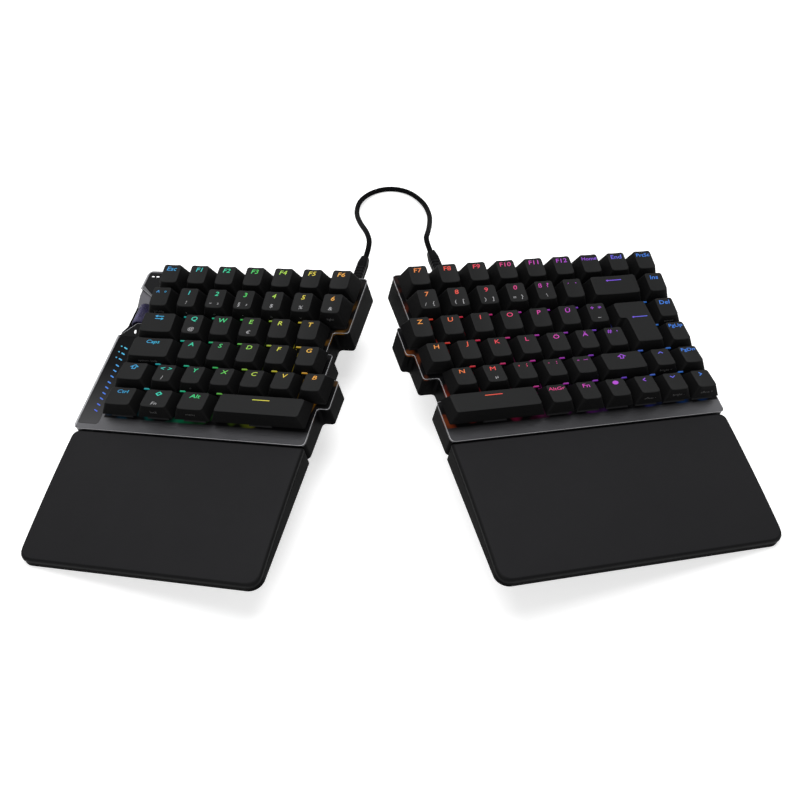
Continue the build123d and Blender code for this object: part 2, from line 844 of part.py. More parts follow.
def enter_face(side_inset, top_inset, bottom_inset, radius):
    """The tall key's stepped outline about its switch, drawn in by the given amounts."""
    high = 2 * unit / 2 - top_inset
    low = -2 * unit / 2 + bottom_inset
    wide_left = enter_top_left - enter_x + side_inset
    narrow_left = enter_low_left - enter_x + side_inset
    right_side = enter_right - enter_x - side_inset
    with BuildSketch() as face:
        with BuildLine():
            FilletPolyline(
                (wide_left, high),
                (right_side, high),
                (right_side, low),
                (narrow_left, low),
                (narrow_left, side_inset),
                (wide_left, side_inset),
                radius=radius,
                close=True,
            )
        make_face()
    return face.sketch


def keycap(half, row, x, y, width, reach=0):
    """A hollow cap, dished across its width, with its slider, and stabiliser sliders at a reach."""
    height = top_height_shares[row] * unit
    depth = top_depth_shares[row] * unit
    base_wide, base_deep = width * unit - key_gap, unit - key_gap
    top_wide = width * unit - cap_side_taper
    skirt = half.deck_plane(x, y, cap_skirt_clearance)
    top = half.deck_plane(x, y, height, (top_tilt_angles[row], 0, 0))
    inner_wide, inner_deep = base_wide - 2 * cap_wall, base_deep - 2 * cap_wall
    with BuildPart() as cap:
        with BuildSketch(skirt):
            RectangleRounded(base_wide, base_deep, cap_base_radius)
        with BuildSketch(top):
            RectangleRounded(top_wide, depth, cap_top_radius)
        loft()
        if reach != space_key_stab_reach:
            dish_radius = (top_wide / 2) ** 2 / (2 * dish_depth) + dish_depth / 2
            dish = Plane(top.location * Location((0, unit, dish_radius - dish_depth), (90, 0, 0)))
            with BuildSketch(dish):
                Circle(dish_radius)
            extrude(amount=2 * unit, mode=Mode.SUBTRACT)
        with BuildSketch(skirt):
            RectangleRounded(inner_wide, inner_deep, cap_base_radius / 2)
        with BuildSketch(top.offset(-cap_ceiling)):
            RectangleRounded(top_wide - 2 * cap_roof_wall, depth - 2 * cap_roof_wall, cap_top_radius / 2)
        loft(mode=Mode.SUBTRACT)
        with BuildSketch(half.deck_plane(x, y, slider_low)):
            Rectangle(slider_width, slider_depth)
            if reach:
                with Locations((-reach, 0), (reach, 0)):
                    Rectangle(stab_slider, stab_slider)
        extrude(amount=height - cap_roof_wall - slider_low)
    return cap.part


def enter_cap(half):
    """The tall stepped cap over two rows, with its slider and turned stabiliser."""
    height = top_height_shares[2] * unit - dish_depth
    skirt = half.deck_plane(enter_x, enter_y, cap_skirt_clearance)
    top = half.deck_plane(enter_x, enter_y, height)
    edge = key_gap / 2
    slope = cap_side_taper / 2
    with BuildPart() as cap:
        with BuildSketch(skirt):
            add(enter_face(edge, edge, edge, cap_base_radius))
        with BuildSketch(top):
            add(enter_face(slope, slope - edge, slope - edge, cap_top_radius))
        loft()
        with BuildSketch(skirt):
            add(enter_face(edge + cap_wall, edge + cap_wall, edge + cap_wall, cap_base_radius / 2))
        with BuildSketch(top.offset(-cap_ceiling)):
            add(enter_face(slope + cap_roof_wall, slope + edge, slope + edge, cap_top_radius / 2))
        loft(mode=Mode.SUBTRACT)
        with BuildSketch(half.deck_plane(enter_x, enter_y, slider_low)):
            Rectangle(slider_width, slider_depth)
            with Locations((0, -double_key_stab_reach), (0, double_key_stab_reach)):
                Rectangle(stab_slider, stab_slider)
        extrude(amount=height - cap_roof_wall - slider_low)
    return cap.part


# Node name, half, and the keys in it as row and numbers in the row
key_groups = (
    ("escape_key", left, ((0, (0,)),)),
    ("left_function_keys", left, ((0, range(1, 7)),)),
    ("left_number_keys", left, ((1, range(7)),)),
    ("tab_key", left, ((2, (0,)),)),
    ("left_upper_letter_keys", left, ((2, range(1, 6)),)),
    ("caps_key", left, ((3, (0,)),)),
    ("left_home_letter_keys", left, ((3, range(1, 6)),)),
    ("left_shift_key", left, ((4, (0,)),)),
    ("left_lower_letter_keys", left, ((4, range(1, 7)),)),
    ("left_modifier_keys", left, ((5, range(3)),)),
    ("left_space_key", left, ((5, (3,)),)),
    ("right_function_keys", right, ((0, range(6)),)),
    ("right_number_keys", right, ((1, range(6)),)),
    ("backspace_key", right, ((1, (6,)),)),
    ("right_upper_letter_keys", right, ((2, range(7)),)),
    ("right_home_letter_keys", right, ((3, range(7)),)),
    ("right_lower_letter_keys", right, ((4, range(5)),)),
    ("right_shift_key", right, ((4, (5,)),)),
    ("right_space_key", right, ((5, (0,)),)),
    ("right_modifier_keys", right, ((5, range(1, 4)),)),
    ("up_key", right, ((4, (6,)),)),
    ("left_arrow_key", right, ((5, (4,)),)),
    ("down_key", right, ((5, (5,)),)),
    ("right_arrow_key", right, ((5, (6,)),)),
    ("navigation_keys", right, ((0, range(6, 9)), (1, (7,)), (2, (8,)), (3, (8,)), (4, (7,)))),
)
stab_reaches = {
    "left_space_key": space_key_stab_reach,
    "right_space_key": space_key_stab_reach,
    "backspace_key": double_key_stab_reach,
}

for group_name, half, members in key_groups:
    wanted = {(row, number) for row, numbers in members for number in numbers}
    caps = [
        keycap(half, row, x, y, width, stab_reaches.get(group_name, 0))
        for row, number, x, y, width in half.keys()
        if (row, number) in wanted
    ]
    with BuildPart() as key_group:
        add(caps)
    key_group.part.label = group_name
    export_step(key_group.part, f"parts/{group_name}.step")

# The tall cap's lug over the wider row is pushed onto its side with a hairline seam
lug_seam = right.deck_plane(enter_low_left + key_gap / 2 - lug_overhang, enter_y, cap_skirt_clearance)
with BuildPart() as enter_key:
    add(enter_cap(right))
    with BuildSketch(Plane(lug_seam.origin, x_dir=lug_seam.y_dir, z_dir=lug_seam.x_dir)):
        Rectangle(3 * unit, 3 * unit)
    extrude(amount=-seat_gap, mode=Mode.SUBTRACT)
enter_key.part.label = "enter_key"
export_step(enter_key.part, "parts/enter_key.step")

# Link cord with a plug in each half

for half in halves:
    wall_plane = half.deck_plane(half.link_place, rear_margin, -port_depth, (-90, 0, 0))
    with BuildPart() as plug:
        with BuildSketch(wall_plane):
            RectangleRounded(plug_width, plug_height, plug_corner)
        extrude(amount=plug_grip)
        with BuildSketch(wall_plane.offset(plug_grip)):
            RectangleRounded(plug_width, plug_height, plug_corner)
        with BuildSketch(wall_plane.offset(plug_grip + plug_neck)):
            RectangleRounded(plug_neck_width, plug_neck_width, plug_corner)
        loft()
        with BuildSketch(wall_plane):
            SlotOverall(plug_nose_width, plug_nose_height)
        extrude(amount=-plug_nose_length)
        with BuildSketch(wall_plane.offset(-plug_nose_length)):
            nose_bore = plug_nose_height - 2 * plug_nose_wall
            SlotOverall(plug_nose_width - 2 * plug_nose_wall, nose_bore)
        extrude(amount=plug_nose_length - plug_nose_wall, mode=Mode.SUBTRACT)
    plug.part.label = f"{half.name}_plug"
    export_step(plug.part, f"parts/{half.name}_plug.step")



def past_plug(half, distance):
    """A point on a plug's axis, a distance behind its outer end."""
    reach = rear_margin + plug_grip + plug_neck + distance
    return half.deck_plane(half.link_place, reach, -port_depth).origin


# The route between the plugs, chosen by hand: out level, down to the desk, round and up again
link_route = (
    (-18.6, 137.8, 34.5),
    (-23.6, 158.2, 23.0),
    (-27.2, 182.2, 11.0),
    (-24.3, 203.2, 3.6),
    (-14.6, 213.4, 1.7),
    (-3.0, 216.4, 1.7),
    (9.6, 212.2, 1.7),
    (19.2, 199.4, 3.4),
    (23.1, 178.8, 11.0),
    (21.2, 155.8, 23.0),
    (18.0, 137.2, 34.2),
)
route = [past_plug(left, 0), past_plug(left, cord_exit_run)]
route += [Vector(*point) for point in link_route]
route += [past_plug(right, cord_exit_run), past_plug(right, seat_gap)]
bend_radii = []
for before, point, after in zip(route, route[1:], route[2:]):
    turn = (point - before).get_angle(after - point)
    shorter = min((point - before).length, (after - point).length)
    bend_radii.append(0.45 * shorter / tan(radians(turn / 2)))

with BuildPart() as link_cord:
    with BuildLine() as cord_path:
        FilletPolyline(*route, radius=bend_radii)
    with BuildSketch(Plane(cord_path.line @ 0, z_dir=cord_path.line % 0)):
        Circle(cord_diameter / 2)
    sweep(path=cord_path.line)
link_cord.part.label = "link_cord"
export_step(link_cord.part, "parts/link_cord.step")

cord_length = sum(edge.length for edge in cord_path.edges())
section_area = pi * (cord_diameter / 2) ** 2
print("cord bend radii", [round(radius, 1) for radius in bend_radii])
print("cord length", round(cord_length, 2), "ends", route[:2], route[-2:])
print("cord volume", round(link_cord.part.volume, 2))
print("section times length", round(section_area * cord_length, 2))
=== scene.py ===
# %% [markdown]
# A split keyboard is two small machines that stand at an angle to each other and to the desk. The
# imported frame already holds every solid piece at its real size. This lesson dresses it: it gives the
# keys their dished caps and glowing legends, and each surface its finish. First the frame is loaded,
# and the box of the bare frame is kept, to be printed at the end beside the box of the dressed
# keyboard.

from functools import cache

import bpy
import numpy as np
from mathutils import Matrix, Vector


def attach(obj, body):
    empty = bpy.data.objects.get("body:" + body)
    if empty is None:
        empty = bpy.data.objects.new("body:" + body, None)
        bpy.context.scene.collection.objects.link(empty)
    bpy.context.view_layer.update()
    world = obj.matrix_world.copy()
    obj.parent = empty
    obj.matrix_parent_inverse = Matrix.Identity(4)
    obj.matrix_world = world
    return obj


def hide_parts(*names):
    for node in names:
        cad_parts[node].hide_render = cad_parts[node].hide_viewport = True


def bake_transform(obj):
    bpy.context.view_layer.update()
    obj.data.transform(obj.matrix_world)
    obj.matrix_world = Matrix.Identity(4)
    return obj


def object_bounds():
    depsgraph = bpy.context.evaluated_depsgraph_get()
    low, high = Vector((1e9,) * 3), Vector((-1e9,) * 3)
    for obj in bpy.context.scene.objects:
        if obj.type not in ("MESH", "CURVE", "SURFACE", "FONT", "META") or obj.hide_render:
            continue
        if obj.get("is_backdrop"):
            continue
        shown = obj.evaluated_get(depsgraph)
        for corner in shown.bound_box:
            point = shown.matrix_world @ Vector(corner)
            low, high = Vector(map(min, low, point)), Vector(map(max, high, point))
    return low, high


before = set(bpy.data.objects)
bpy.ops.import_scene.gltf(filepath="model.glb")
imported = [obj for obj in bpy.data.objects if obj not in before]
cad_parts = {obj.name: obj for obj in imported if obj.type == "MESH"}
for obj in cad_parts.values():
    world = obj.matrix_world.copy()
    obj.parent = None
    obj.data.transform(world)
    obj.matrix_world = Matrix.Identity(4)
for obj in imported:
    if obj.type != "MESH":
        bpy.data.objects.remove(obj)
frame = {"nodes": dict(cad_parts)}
frame_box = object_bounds()
nodes, scene = frame["nodes"], bpy.context.scene
print("nodes in the frame:", len(nodes))

# %% [markdown]
# Each half has two planes of its own. The base plane is its underside, turned on the desk and
# tented about its outer edge. The deck plane is its top plate, tipped a little more towards the
# typist. Everything on a half is easiest to place in millimetres on its deck, so one small class
# turns such points into metres in the shared frame, for whole arrays at once.

# %% The two halves and their planes
MILLIMETRE = 0.001
UNIT = 19.05
TENT, SPLAY, WEDGE = np.radians([11.95, 15.72, 1.95])
REAR_MARGIN, FRONT_MARGIN, INNER_MARGIN, REAR_HEIGHT = 5.0, 8.4, 0.3, 18.4


def turn(axis, angle):
    """A rotation matrix about axis 0, 1 or 2: cosines on the two other axes, sines across them."""
    matrix = np.eye(3)
    a, b = [(1, 2), (2, 0), (0, 1)][axis]
    matrix[[a, b, a, b], [a, b, b, a]] = np.cos(angle), np.cos(angle), -np.sin(angle), np.sin(angle)
    return matrix


class Half:
    """One half of the keyboard: side is 1 for the left and -1 for the right."""

    def __init__(self, name, side, corner, outer, inner_shares, start_shares):
        self.name, self.side, self.outer = name, side, outer
        self.corner = np.array(corner)
        self.inner_shares, self.start_shares = inner_shares, start_shares
        self.base_turn = turn(2, -side * SPLAY) @ turn(1, -side * TENT)
        self.deck_turn = self.base_turn @ turn(0, WEDGE)
        self.body = name + "_half"

    def base(self, points):
        """Metres of points given in millimetres on the base plane: turn them, then add the corner."""
        local = np.asarray(points, float) - [self.outer, REAR_MARGIN, 0]
        return (self.corner + local @ self.base_turn.T) * MILLIMETRE

    def deck(self, points):
        """Metres of deck points: tip them about the rear edge, lift them, then as on the base."""
        local = (np.asarray(points, float) + [0, -REAR_MARGIN, REAR_HEIGHT]) @ turn(0, WEDGE).T
        return self.base(local + [0, REAR_MARGIN, 0])

    def inner(self, row):
        """The inner edge at a row: a share of the key spacing and a small margin."""
        return self.inner_shares[row] * UNIT + self.side * INNER_MARGIN


left = Half("left", 1, (-155.85, 122.55, 0), -16.7, (7, 7, 6.5, 6.75, 7.25, 6.875), (0,) * 6)
right = Half(
    "right", -1, (155.85, 126.65, 0), 9 * UNIT + 1.2,
    (0, 0, -0.5, -0.25, 0.25, -0.125), (0, 0, -0.5, -0.25, 0.25, -0.125),
)
FRONT = -6 * UNIT - FRONT_MARGIN
print("left rear corner in metres:", left.deck([[left.outer, REAR_MARGIN, 0]]).round(4))

# %% [markdown]
# Some steps come back for every piece. One function makes a mesh from arrays, one puts a shape into
# the scene as an object, one gives it its finish, one reads a curve as a mesh, and one brings vectors
# to length 1. Every piece is drawn where it lies, so its object stays at the origin.

# %% Small helpers


def smooth_mesh(name, points, *faces):
    """A mesh from an array of points and arrays of faces, with smooth shading."""
    mesh = bpy.data.meshes.new(name)
    mesh.from_pydata(points.tolist(), [], [face for part in faces for face in part.tolist()])
    mesh.polygons.foreach_set("use_smooth", np.ones(len(mesh.polygons), bool))
    return mesh


def placed(name, data, axes=np.eye(3), place=(0, 0, 0)):
    """A new object in the scene. Its matrix has its axes as columns, and its place as the last one."""
    made = bpy.data.objects.new(name, data)
    scene.collection.objects.link(made)
    matrix = np.eye(4)
    matrix[:3, :3], matrix[:3, 3] = axes, place
    made.matrix_world = Matrix(matrix.tolist())
    return made


def dress(piece, finish):
    """Puts a finish into an object's material slot, in place of what was there."""
    piece.data.materials.clear()
    piece.data.materials.append(finish.material)


def mesh_of(curve):
    """A curve's mesh and its points, read while an object holds the curve for a moment."""
    holder = placed("holder", curve)
    bpy.context.view_layer.update()
    worked_out = holder.evaluated_get(bpy.context.evaluated_depsgraph_get())
    mesh = bpy.data.meshes.new_from_object(worked_out)
    points = np.empty(len(mesh.vertices) * 3)
    mesh.vertices.foreach_get("co", points)
    bpy.data.objects.remove(holder)
    return mesh, points.reshape(-1, 3)


def unit(vectors):
    """Each vector divided by its own length."""
    return vectors / np.linalg.norm(vectors, axis=-1, keepdims=True)


# %% [markdown]
# The camera stands where the photograph was taken. Its place and turn were fitted to the places of
# the keys, so its three axes are written down as they came out: to the right, upwards and back
# towards the photographer. A plain lens of 61 millimetres gives the same field of view.

# %% Camera
camera_place = np.array([-1.88, -492.33, 654.46]) * MILLIMETRE
camera_axes = np.array([
    [0.99985, -0.01504, -0.00855],
    [0.0171, 0.78297, 0.62183],
    [-0.00265, -0.62188, 0.78311],
])
camera_data = bpy.data.cameras.new("camera")
camera_data.lens, camera_data.sensor_width = 61.286, 36
scene.camera = placed("camera", camera_data, camera_axes.T, camera_place)
scene.view_settings.view_transform = "Standard"
print("camera in metres:", camera_place.round(3), "lens:", camera_data.lens)

# %% [markdown]
# Every new piece is a surface worked out on a grid: a closed outline with the same number of points
# at each step of a profile. The helpers round an outline's corners, draw it in, and join such rings
# by their numbers. They work on whole arrays, so 86 caps take a moment.

# %% Surface helpers
CORNER_STEPS, EDGE_STEPS = 6, 5


def rounded(corners, radius):
    """Rounds each corner by a quadratic curve between its tangent points, then fills the straights."""
    corners = np.asarray(corners, float)
    radius = np.broadcast_to(np.asarray(radius, float), len(corners))[:, None]
    to_last = np.roll(corners, 1, axis=0) - corners
    to_next = np.roll(corners, -1, axis=0) - corners
    start, end = corners + unit(to_last) * radius, corners + unit(to_next) * radius
    t = np.linspace(0, 1, CORNER_STEPS)[None, :, None]
    bend = (1 - t) ** 2 * start[:, None] + 2 * t * (1 - t) * corners[:, None] + t**2 * end[:, None]
    s = (np.arange(1, EDGE_STEPS + 1) / (EDGE_STEPS + 1))[None, :, None]
    straight = end[:, None] * (1 - s) + np.roll(start, -1, axis=0)[:, None] * s
    return np.concatenate([bend, straight], axis=1).reshape(-1, 2)


def drawn_in(corners, amount):
    """Moves every side of an outline with square corners inwards by an amount."""
    corners = np.asarray(corners, float)
    side = unit(np.roll(corners, -1, axis=0) - corners)
    inward = np.column_stack([-side[:, 1], side[:, 0]])
    return corners + (inward + np.roll(inward, 1, axis=0)) * amount


def oblong(width, depth):
    """Four corners about the middle, counter-clockwise."""
    return np.array([[-1, -1], [1, -1], [1, 1], [-1, 1]]) * [width / 2, depth / 2]


def ring_faces(steps, count, closed=False):
    """Quads between neighbouring rings, and a fan to a middle point at each end that stays open."""
    ring, here = np.arange(steps if closed else steps - 1)[:, None], np.arange(count)
    after, there = (ring + 1) % steps * count, (here + 1) % count
    ring = ring * count
    quads = np.stack([ring + here, ring + there, after + there, after + here], -1).reshape(-1, 4)
    last, middle = (steps - 1) * count, np.full(count, steps * count)
    fans = np.concatenate([
        np.stack([there, here, middle], -1), np.stack([last + here, last + there, middle + 1], -1)])
    return quads, fans[:0] if closed else fans


print("points round an outline of four corners:", len(rounded(oblong(1, 1), 0.1)))

# %% [markdown]
# A row of caps is many closed surfaces but one object. A shell collects them, moves each one's point
# numbers on behind the last, and makes the mesh at the end. It also keeps how near each point is to
# a cap's dish, because the finish asks for that.

# %% Shells


class Shell:
    """Collects closed surfaces and turns them into one object."""

    def __init__(self):
        self.parts, self.total = [], 0

    def add(self, points, quads, triangles, marks=None):
        quads = np.reshape(quads, (-1, 4)).astype(int) + self.total
        triangles = np.reshape(triangles, (-1, 3)).astype(int) + self.total
        marks = np.zeros(len(points)) if marks is None else marks
        self.parts.append((points, quads, triangles, marks))
        self.total += len(points)

    def add_rings(self, rings, place, marks=None, closed=False):
        """Joins rings of local points, which place turns into metres. Closed ones need no middles."""
        steps, count = rings.shape[:2]
        points = rings.reshape(-1, 3)
        if not closed:
            points = np.vstack([points, rings[0].mean(axis=0), rings[-1].mean(axis=0)])
        if marks is not None:
            marks = np.concatenate([np.repeat(marks, count), [marks[0], marks[-1]]])
        self.add(place(points), *ring_faces(steps, count, closed), marks)

    def make(self, name, body, finish, smooth_angle=35):
        """One object of all parts, riding on a body. Edges over an angle in degrees are sharp."""
        points, quads, triangles, marks = map(np.concatenate, zip(*self.parts))
        mesh = smooth_mesh(name, points, quads, triangles)
        dish = mesh.attributes.new("dish", "FLOAT", "POINT")
        dish.data.foreach_set("value", marks.astype(np.float32))
        mesh.set_sharp_from_angle(angle=np.radians(smooth_angle))
        mesh.update()
        piece = placed(name, mesh)
        dress(piece, finish)
        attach(piece, body)
        print("piece:", name, "points:", len(points), "faces:", len(quads) + len(triangles))
        return piece


# %% [markdown]
# The link cord is a real free cord, so it comes first. It leaves one plug along the plug's axis,
# falls to the desk behind the halves, turns round there and climbs to the other plug. Its points
# are listed one by one. A smooth spline with those points as control points is what a limp braided
# cord does, where straight runs with rounded corners would look like bent wire.

# %% Link cord
CORD_DIAMETER = 3.4 * MILLIMETRE
LINK_LEFT, LINK_RIGHT, PORT_DEPTH = 122.85, 34.7, 8.3
PLUG_REACH = REAR_MARGIN + 25.1
CORD_EXIT_RUN, CORD_SEAM = 12.0, 0.05
link_route = (
    (-18.6, 137.8, 34.5), (-23.6, 158.2, 23.0), (-27.2, 181.2, 11.0), (-24.6, 201.8, 3.6),
    (-15.0, 212.2, 1.7), (-3.0, 215.0, 1.7), (9.8, 211.0, 1.7), (19.4, 198.0, 3.4),
    (22.9, 178.0, 11.0), (22.0, 156.0, 23.0), (20.2, 137.4, 34.2),
)


def past_plug(half, place, distance):
    """A point on a plug's axis, a distance behind its outer end, in metres."""
    return half.deck([[place, PLUG_REACH + distance, -PORT_DEPTH]])[0]


cord_points = np.vstack([
    past_plug(left, LINK_LEFT, 0),
    past_plug(left, LINK_LEFT, CORD_EXIT_RUN),
    np.array(link_route) * MILLIMETRE,
    past_plug(right, LINK_RIGHT, CORD_EXIT_RUN),
    past_plug(right, LINK_RIGHT, CORD_SEAM),
])
cord_curve = bpy.data.curves.new("cord_line", "CURVE")
cord_curve.dimensions, cord_curve.resolution_u = "3D", 14
cord_spline = cord_curve.splines.new("NURBS")
cord_spline.points.add(len(cord_points) - 1)
cord_weights = np.ones(len(cord_points))
cord_spline.points.foreach_set("co", np.column_stack([cord_points, cord_weights]).ravel())
cord_spline.order_u, cord_spline.use_endpoint_u = 3, True
cord_path = mesh_of(cord_curve)[1]
cord_run = np.concatenate([[0], np.cumsum(np.linalg.norm(np.diff(cord_path, axis=0), axis=1))])
print("cord length in millimetres:", cord_run[-1] / MILLIMETRE)

# %% [markdown]
# The sleeve is a tube round that line. Each ring needs two directions across the line. The line is
# never upright, so the level direction across it and the one square to both will do, for all rings
# at once. A map of turns round the tube and metres along it goes with the mesh, so that the braid
# can follow the cord.

# %% Cord sleeve
CORD_SIDES = 14


def tube_mesh(name, path, along, radius, sides):
    """A closed tube: each ring is a cosine along the level side and a sine along the upper side."""
    ahead = unit(np.gradient(path, axis=0))
    level = unit(np.cross(ahead, [0, 0, 1]))
    upper = np.cross(level, ahead)
    angle = np.linspace(0, -2 * np.pi, sides, endpoint=False)[:, None]
    ring = level[:, None] * np.cos(angle) + upper[:, None] * np.sin(angle)
    points = (path[:, None] + ring * radius).reshape(-1, 3)
    quads, fans = ring_faces(len(path), sides)
    mesh = smooth_mesh(name, np.vstack([points, path[0], path[-1]]), quads, fans)
    turns = (np.arange(sides)[:, None] + [0, 1, 1, 0]) / sides
    metres = along[np.arange(len(path) - 1)[:, None, None] + [0, 0, 1, 1]]
    wall = np.stack(np.broadcast_arrays(turns, metres), -1).reshape(-1, 2)
    uv_map = np.vstack([wall, np.zeros((fans.size, 2))])
    mesh.uv_layers.new(name="braid").data.foreach_set("uv", uv_map.ravel())
    mesh.update()
    return mesh


sleeve_mesh = tube_mesh("link_cord_sleeve", cord_path, cord_run, CORD_DIAMETER / 2, CORD_SIDES)
link_cord = placed("link_cord_sleeve", sleeve_mesh)
print("cord points:", len(cord_points), "rings:", len(cord_path), "faces:", len(sleeve_mesh.polygons))

# %% [markdown]
# A finish is a shader tree. Written node by node it is hard to read, so small classes help. The
# first is a link: it stands for one output and knows + - * /, so that a formula on values can be
# typed as one. Each of these signs adds a Math node, with the link on either side of it.

# %% Links


def both_ways(operation):
    """A Math node as an operator, with the link before the other value, and reflected, behind it."""
    return (lambda link, other: link.maths(operation, link, other),
            lambda link, other: link.maths(operation, other, link))


class Link:
    """One output of a shader tree. Sums and products of links and numbers add Math nodes."""

    def __init__(self, tree, socket):
        self.tree, self.socket = tree, socket

    def maths(self, operation, *values):
        return self.tree.node("ShaderNodeMath", {"operation": operation}, dict(enumerate(values)))

    __add__, __radd__ = both_ways("ADD")
    __sub__, __rsub__ = both_ways("SUBTRACT")
    __mul__, __rmul__ = both_ways("MULTIPLY")
    __truediv__, __rtruediv__ = both_ways("DIVIDE")

    def sine(self):
        """The sine of this, in radians."""
        return self.maths("SINE", self)

    def between(self, low, high, blur=0.0):
        """1 between two edges and 0 outside them, over a blur where one is given."""
        if not blur:
            return self.maths("GREATER_THAN", self, low) * self.maths("LESS_THAN", self, high)
        return ((self - low) / blur).held() * ((high - self) / blur).held()

    def held(self):
        """This, kept between 0 and 1."""
        return self.tree.node("ShaderNodeClamp", {}, {0: self, 1: 0.0, 2: 1.0})


# %% [markdown]
# A tree makes all other nodes, from a type, its settings and its values, and sets what its last
# shader takes. A value may be a constant or a link, so both go through one method. The world at the
# end of this lesson is a tree too.

# %% Trees


class Tree:
    """A shader tree and its last shader. Every other node is made by the node method."""

    def __init__(self, tree, shader):
        self.tree, self.shader = tree, tree.nodes[shader]

    def give(self, target, value):
        """Joins a link to a socket, or sets a constant on it. A colour of three values is opaque."""
        if isinstance(value, Link):
            self.tree.links.new(value.socket, target)
        else:
            target.default_value = (*value, 1) if target.type == "RGBA" and len(value) == 3 else value

    def set(self, socket, value):
        self.give(self.shader.inputs[socket], value)

    def node(self, kind, settings=None, values=None, output=0):
        """A node of any type: settings first, then the values or links of its sockets."""
        made = self.tree.nodes.new(kind)
        for name, value in (settings or {}).items():
            setattr(made, name, value)
        for socket, value in (values or {}).items():
            self.give(made.inputs[socket], value)
        return Link(self, made.outputs[output])

    def as_background(self):
        """1 for rays that show a background, straight, mirrored or let through: the held sum."""
        kinds = ("Camera", "Glossy", "Transmission")
        straight, mirrored, through = (
            self.node("ShaderNodeLightPath", output=f"Is {kind} Ray") for kind in kinds)
        return (straight + mirrored + through).held()


# %% [markdown]
# A finish is the tree of one material. What most finishes need is a method here: cloudy noise, a
# blend of two colours, a colour ramp and a bump. The halves stand askew, so the object's own axes do
# not follow them, and a finish also works out a coordinate along a half's own deck.

# %% Finishes


class Finish(Tree):
    """One material, with its principled shader and the object's own coordinates at hand."""

    def __init__(self, name, base, roughness, metallic=0.0, **constants):
        self.material = bpy.data.materials.new(name)
        self.material.use_nodes = True
        self.material.diffuse_color = (*base, 1)
        super().__init__(self.material.node_tree, "Principled BSDF")
        constants.update(base_color=base, roughness=roughness, metallic=metallic)
        for socket, value in constants.items():
            self.set(socket.replace("_", " ").title().replace("Ior", "IOR"), value)
        self.place = self.node("ShaderNodeTexCoord", output="Object")
        print("finish:", name)

    def noise(self, scale, detail=3.0, vector=None):
        """Cloudy noise from 0 to 1, with so many features per metre."""
        values = {"Vector": vector or self.place, "Scale": scale, "Detail": detail}
        return self.node("ShaderNodeTexNoise", {}, values)

    def mix(self, factor, one, other):
        """One colour where the factor is 0, the other where it is 1."""
        values = {0: factor, 6: one, 7: other}
        return self.node("ShaderNodeMix", {"data_type": "RGBA"}, values, output=2)

    def ramp(self, factor, stops):
        """Colours at places from 0 to 1, blended evenly from one to the next."""
        made = self.node("ShaderNodeValToRGB", {}, {0: factor})
        ramp = made.socket.node.color_ramp.elements
        while len(ramp) < len(stops):
            ramp.new(0.5)
        for stop, (position, colour) in zip(ramp, stops):
            stop.position, stop.color = position, (*colour, 1)
        return made

    def clouded(self, socket, scale, one, other):
        """Gives a socket one colour or the other, by cloudy noise."""
        self.set(socket, self.mix(self.noise(scale), one, other))

    def roughened(self, low, share, scale):
        """The lowest roughness, plus a share of cloudy noise."""
        self.set("Roughness", low + share * self.noise(scale))

    def bump(self, height, strength, distance):
        """Raises the surface by a height pattern, by a distance in metres."""
        values = {"Height": height, "Strength": strength, "Distance": distance}
        self.set("Normal", self.node("ShaderNodeBump", {}, values))

    def deck_axis(self, half, axis):
        """A deck coordinate of a half in millimetres: the dot product with that axis."""
        start = tuple(half.deck([[0, 0, 0]])[0])
        direction = tuple(half.deck_turn[:, axis] / MILLIMETRE)
        less, dot = {"operation": "SUBTRACT"}, {"operation": "DOT_PRODUCT"}
        offset = self.node("ShaderNodeVectorMath", less, {0: self.place, 1: start})
        return self.node("ShaderNodeVectorMath", dot, {0: offset, 1: direction}, output="Value")


# %% [markdown]
# The backlight runs through the colours from blue at the far left to blue at the far right, with
# green, yellow, orange, red and magenta between. On the real keyboard the lamps of a column share a
# colour, so one ramp along each deck's x axis colours the legends. What shines out beside a cap comes
# from a lamp further on, above all on the right half, so the light guides and the plate look the
# ramp up a few millimetres ahead.

# %% Backlight colours
LEFT_GLOW = (
    (0.12, (0.01, 0.25, 0.76)), (0.22, (0.0, 0.45, 0.74)), (0.33, (0.0, 0.72, 0.52)),
    (0.45, (0.0, 0.74, 0.3)), (0.55, (0.05, 0.74, 0.09)), (0.66, (0.42, 0.78, 0.04)),
    (0.78, (0.85, 0.74, 0.03)), (0.92, (1.0, 0.42, 0.02)),
)
RIGHT_GLOW = (
    (0.0, (1.0, 0.12, 0.01)), (0.05, (1.0, 0.36, 0.02)), (0.13, (1.0, 0.2, 0.02)),
    (0.2, (1.0, 0.06, 0.02)), (0.32, (0.95, 0.02, 0.07)), (0.44, (0.8, 0.02, 0.3)),
    (0.55, (0.65, 0.03, 0.62)), (0.68, (0.4, 0.04, 0.75)), (0.8, (0.17, 0.06, 0.85)),
    (0.92, (0.02, 0.22, 0.9)),
)
GLOW_RAMPS = {
    "left": (-16.0, 7.2 * UNIT, LEFT_GLOW),
    "right": (-0.5 * UNIT, 9 * UNIT, RIGHT_GLOW),
}
GUIDE_LENGTH, GUIDE_WIDTH, GUIDE_HEIGHT, GUIDE_TIP = 3.8, 0.6, 6.9, 0.75
LAMP_AHEAD = {"left": 2.0, "right": 18.0}
LEGEND_STRENGTH, LAMP_STRENGTH = 0.85, 0.42


def glow_colour(finish, half, ahead):
    """The backlight's colour at a point: the ramp at its share of the width, looked up further on."""
    low, high, stops = GLOW_RAMPS[half.name]
    return finish.ramp((finish.deck_axis(half, 0) + (ahead - low)) / (high - low), stops)


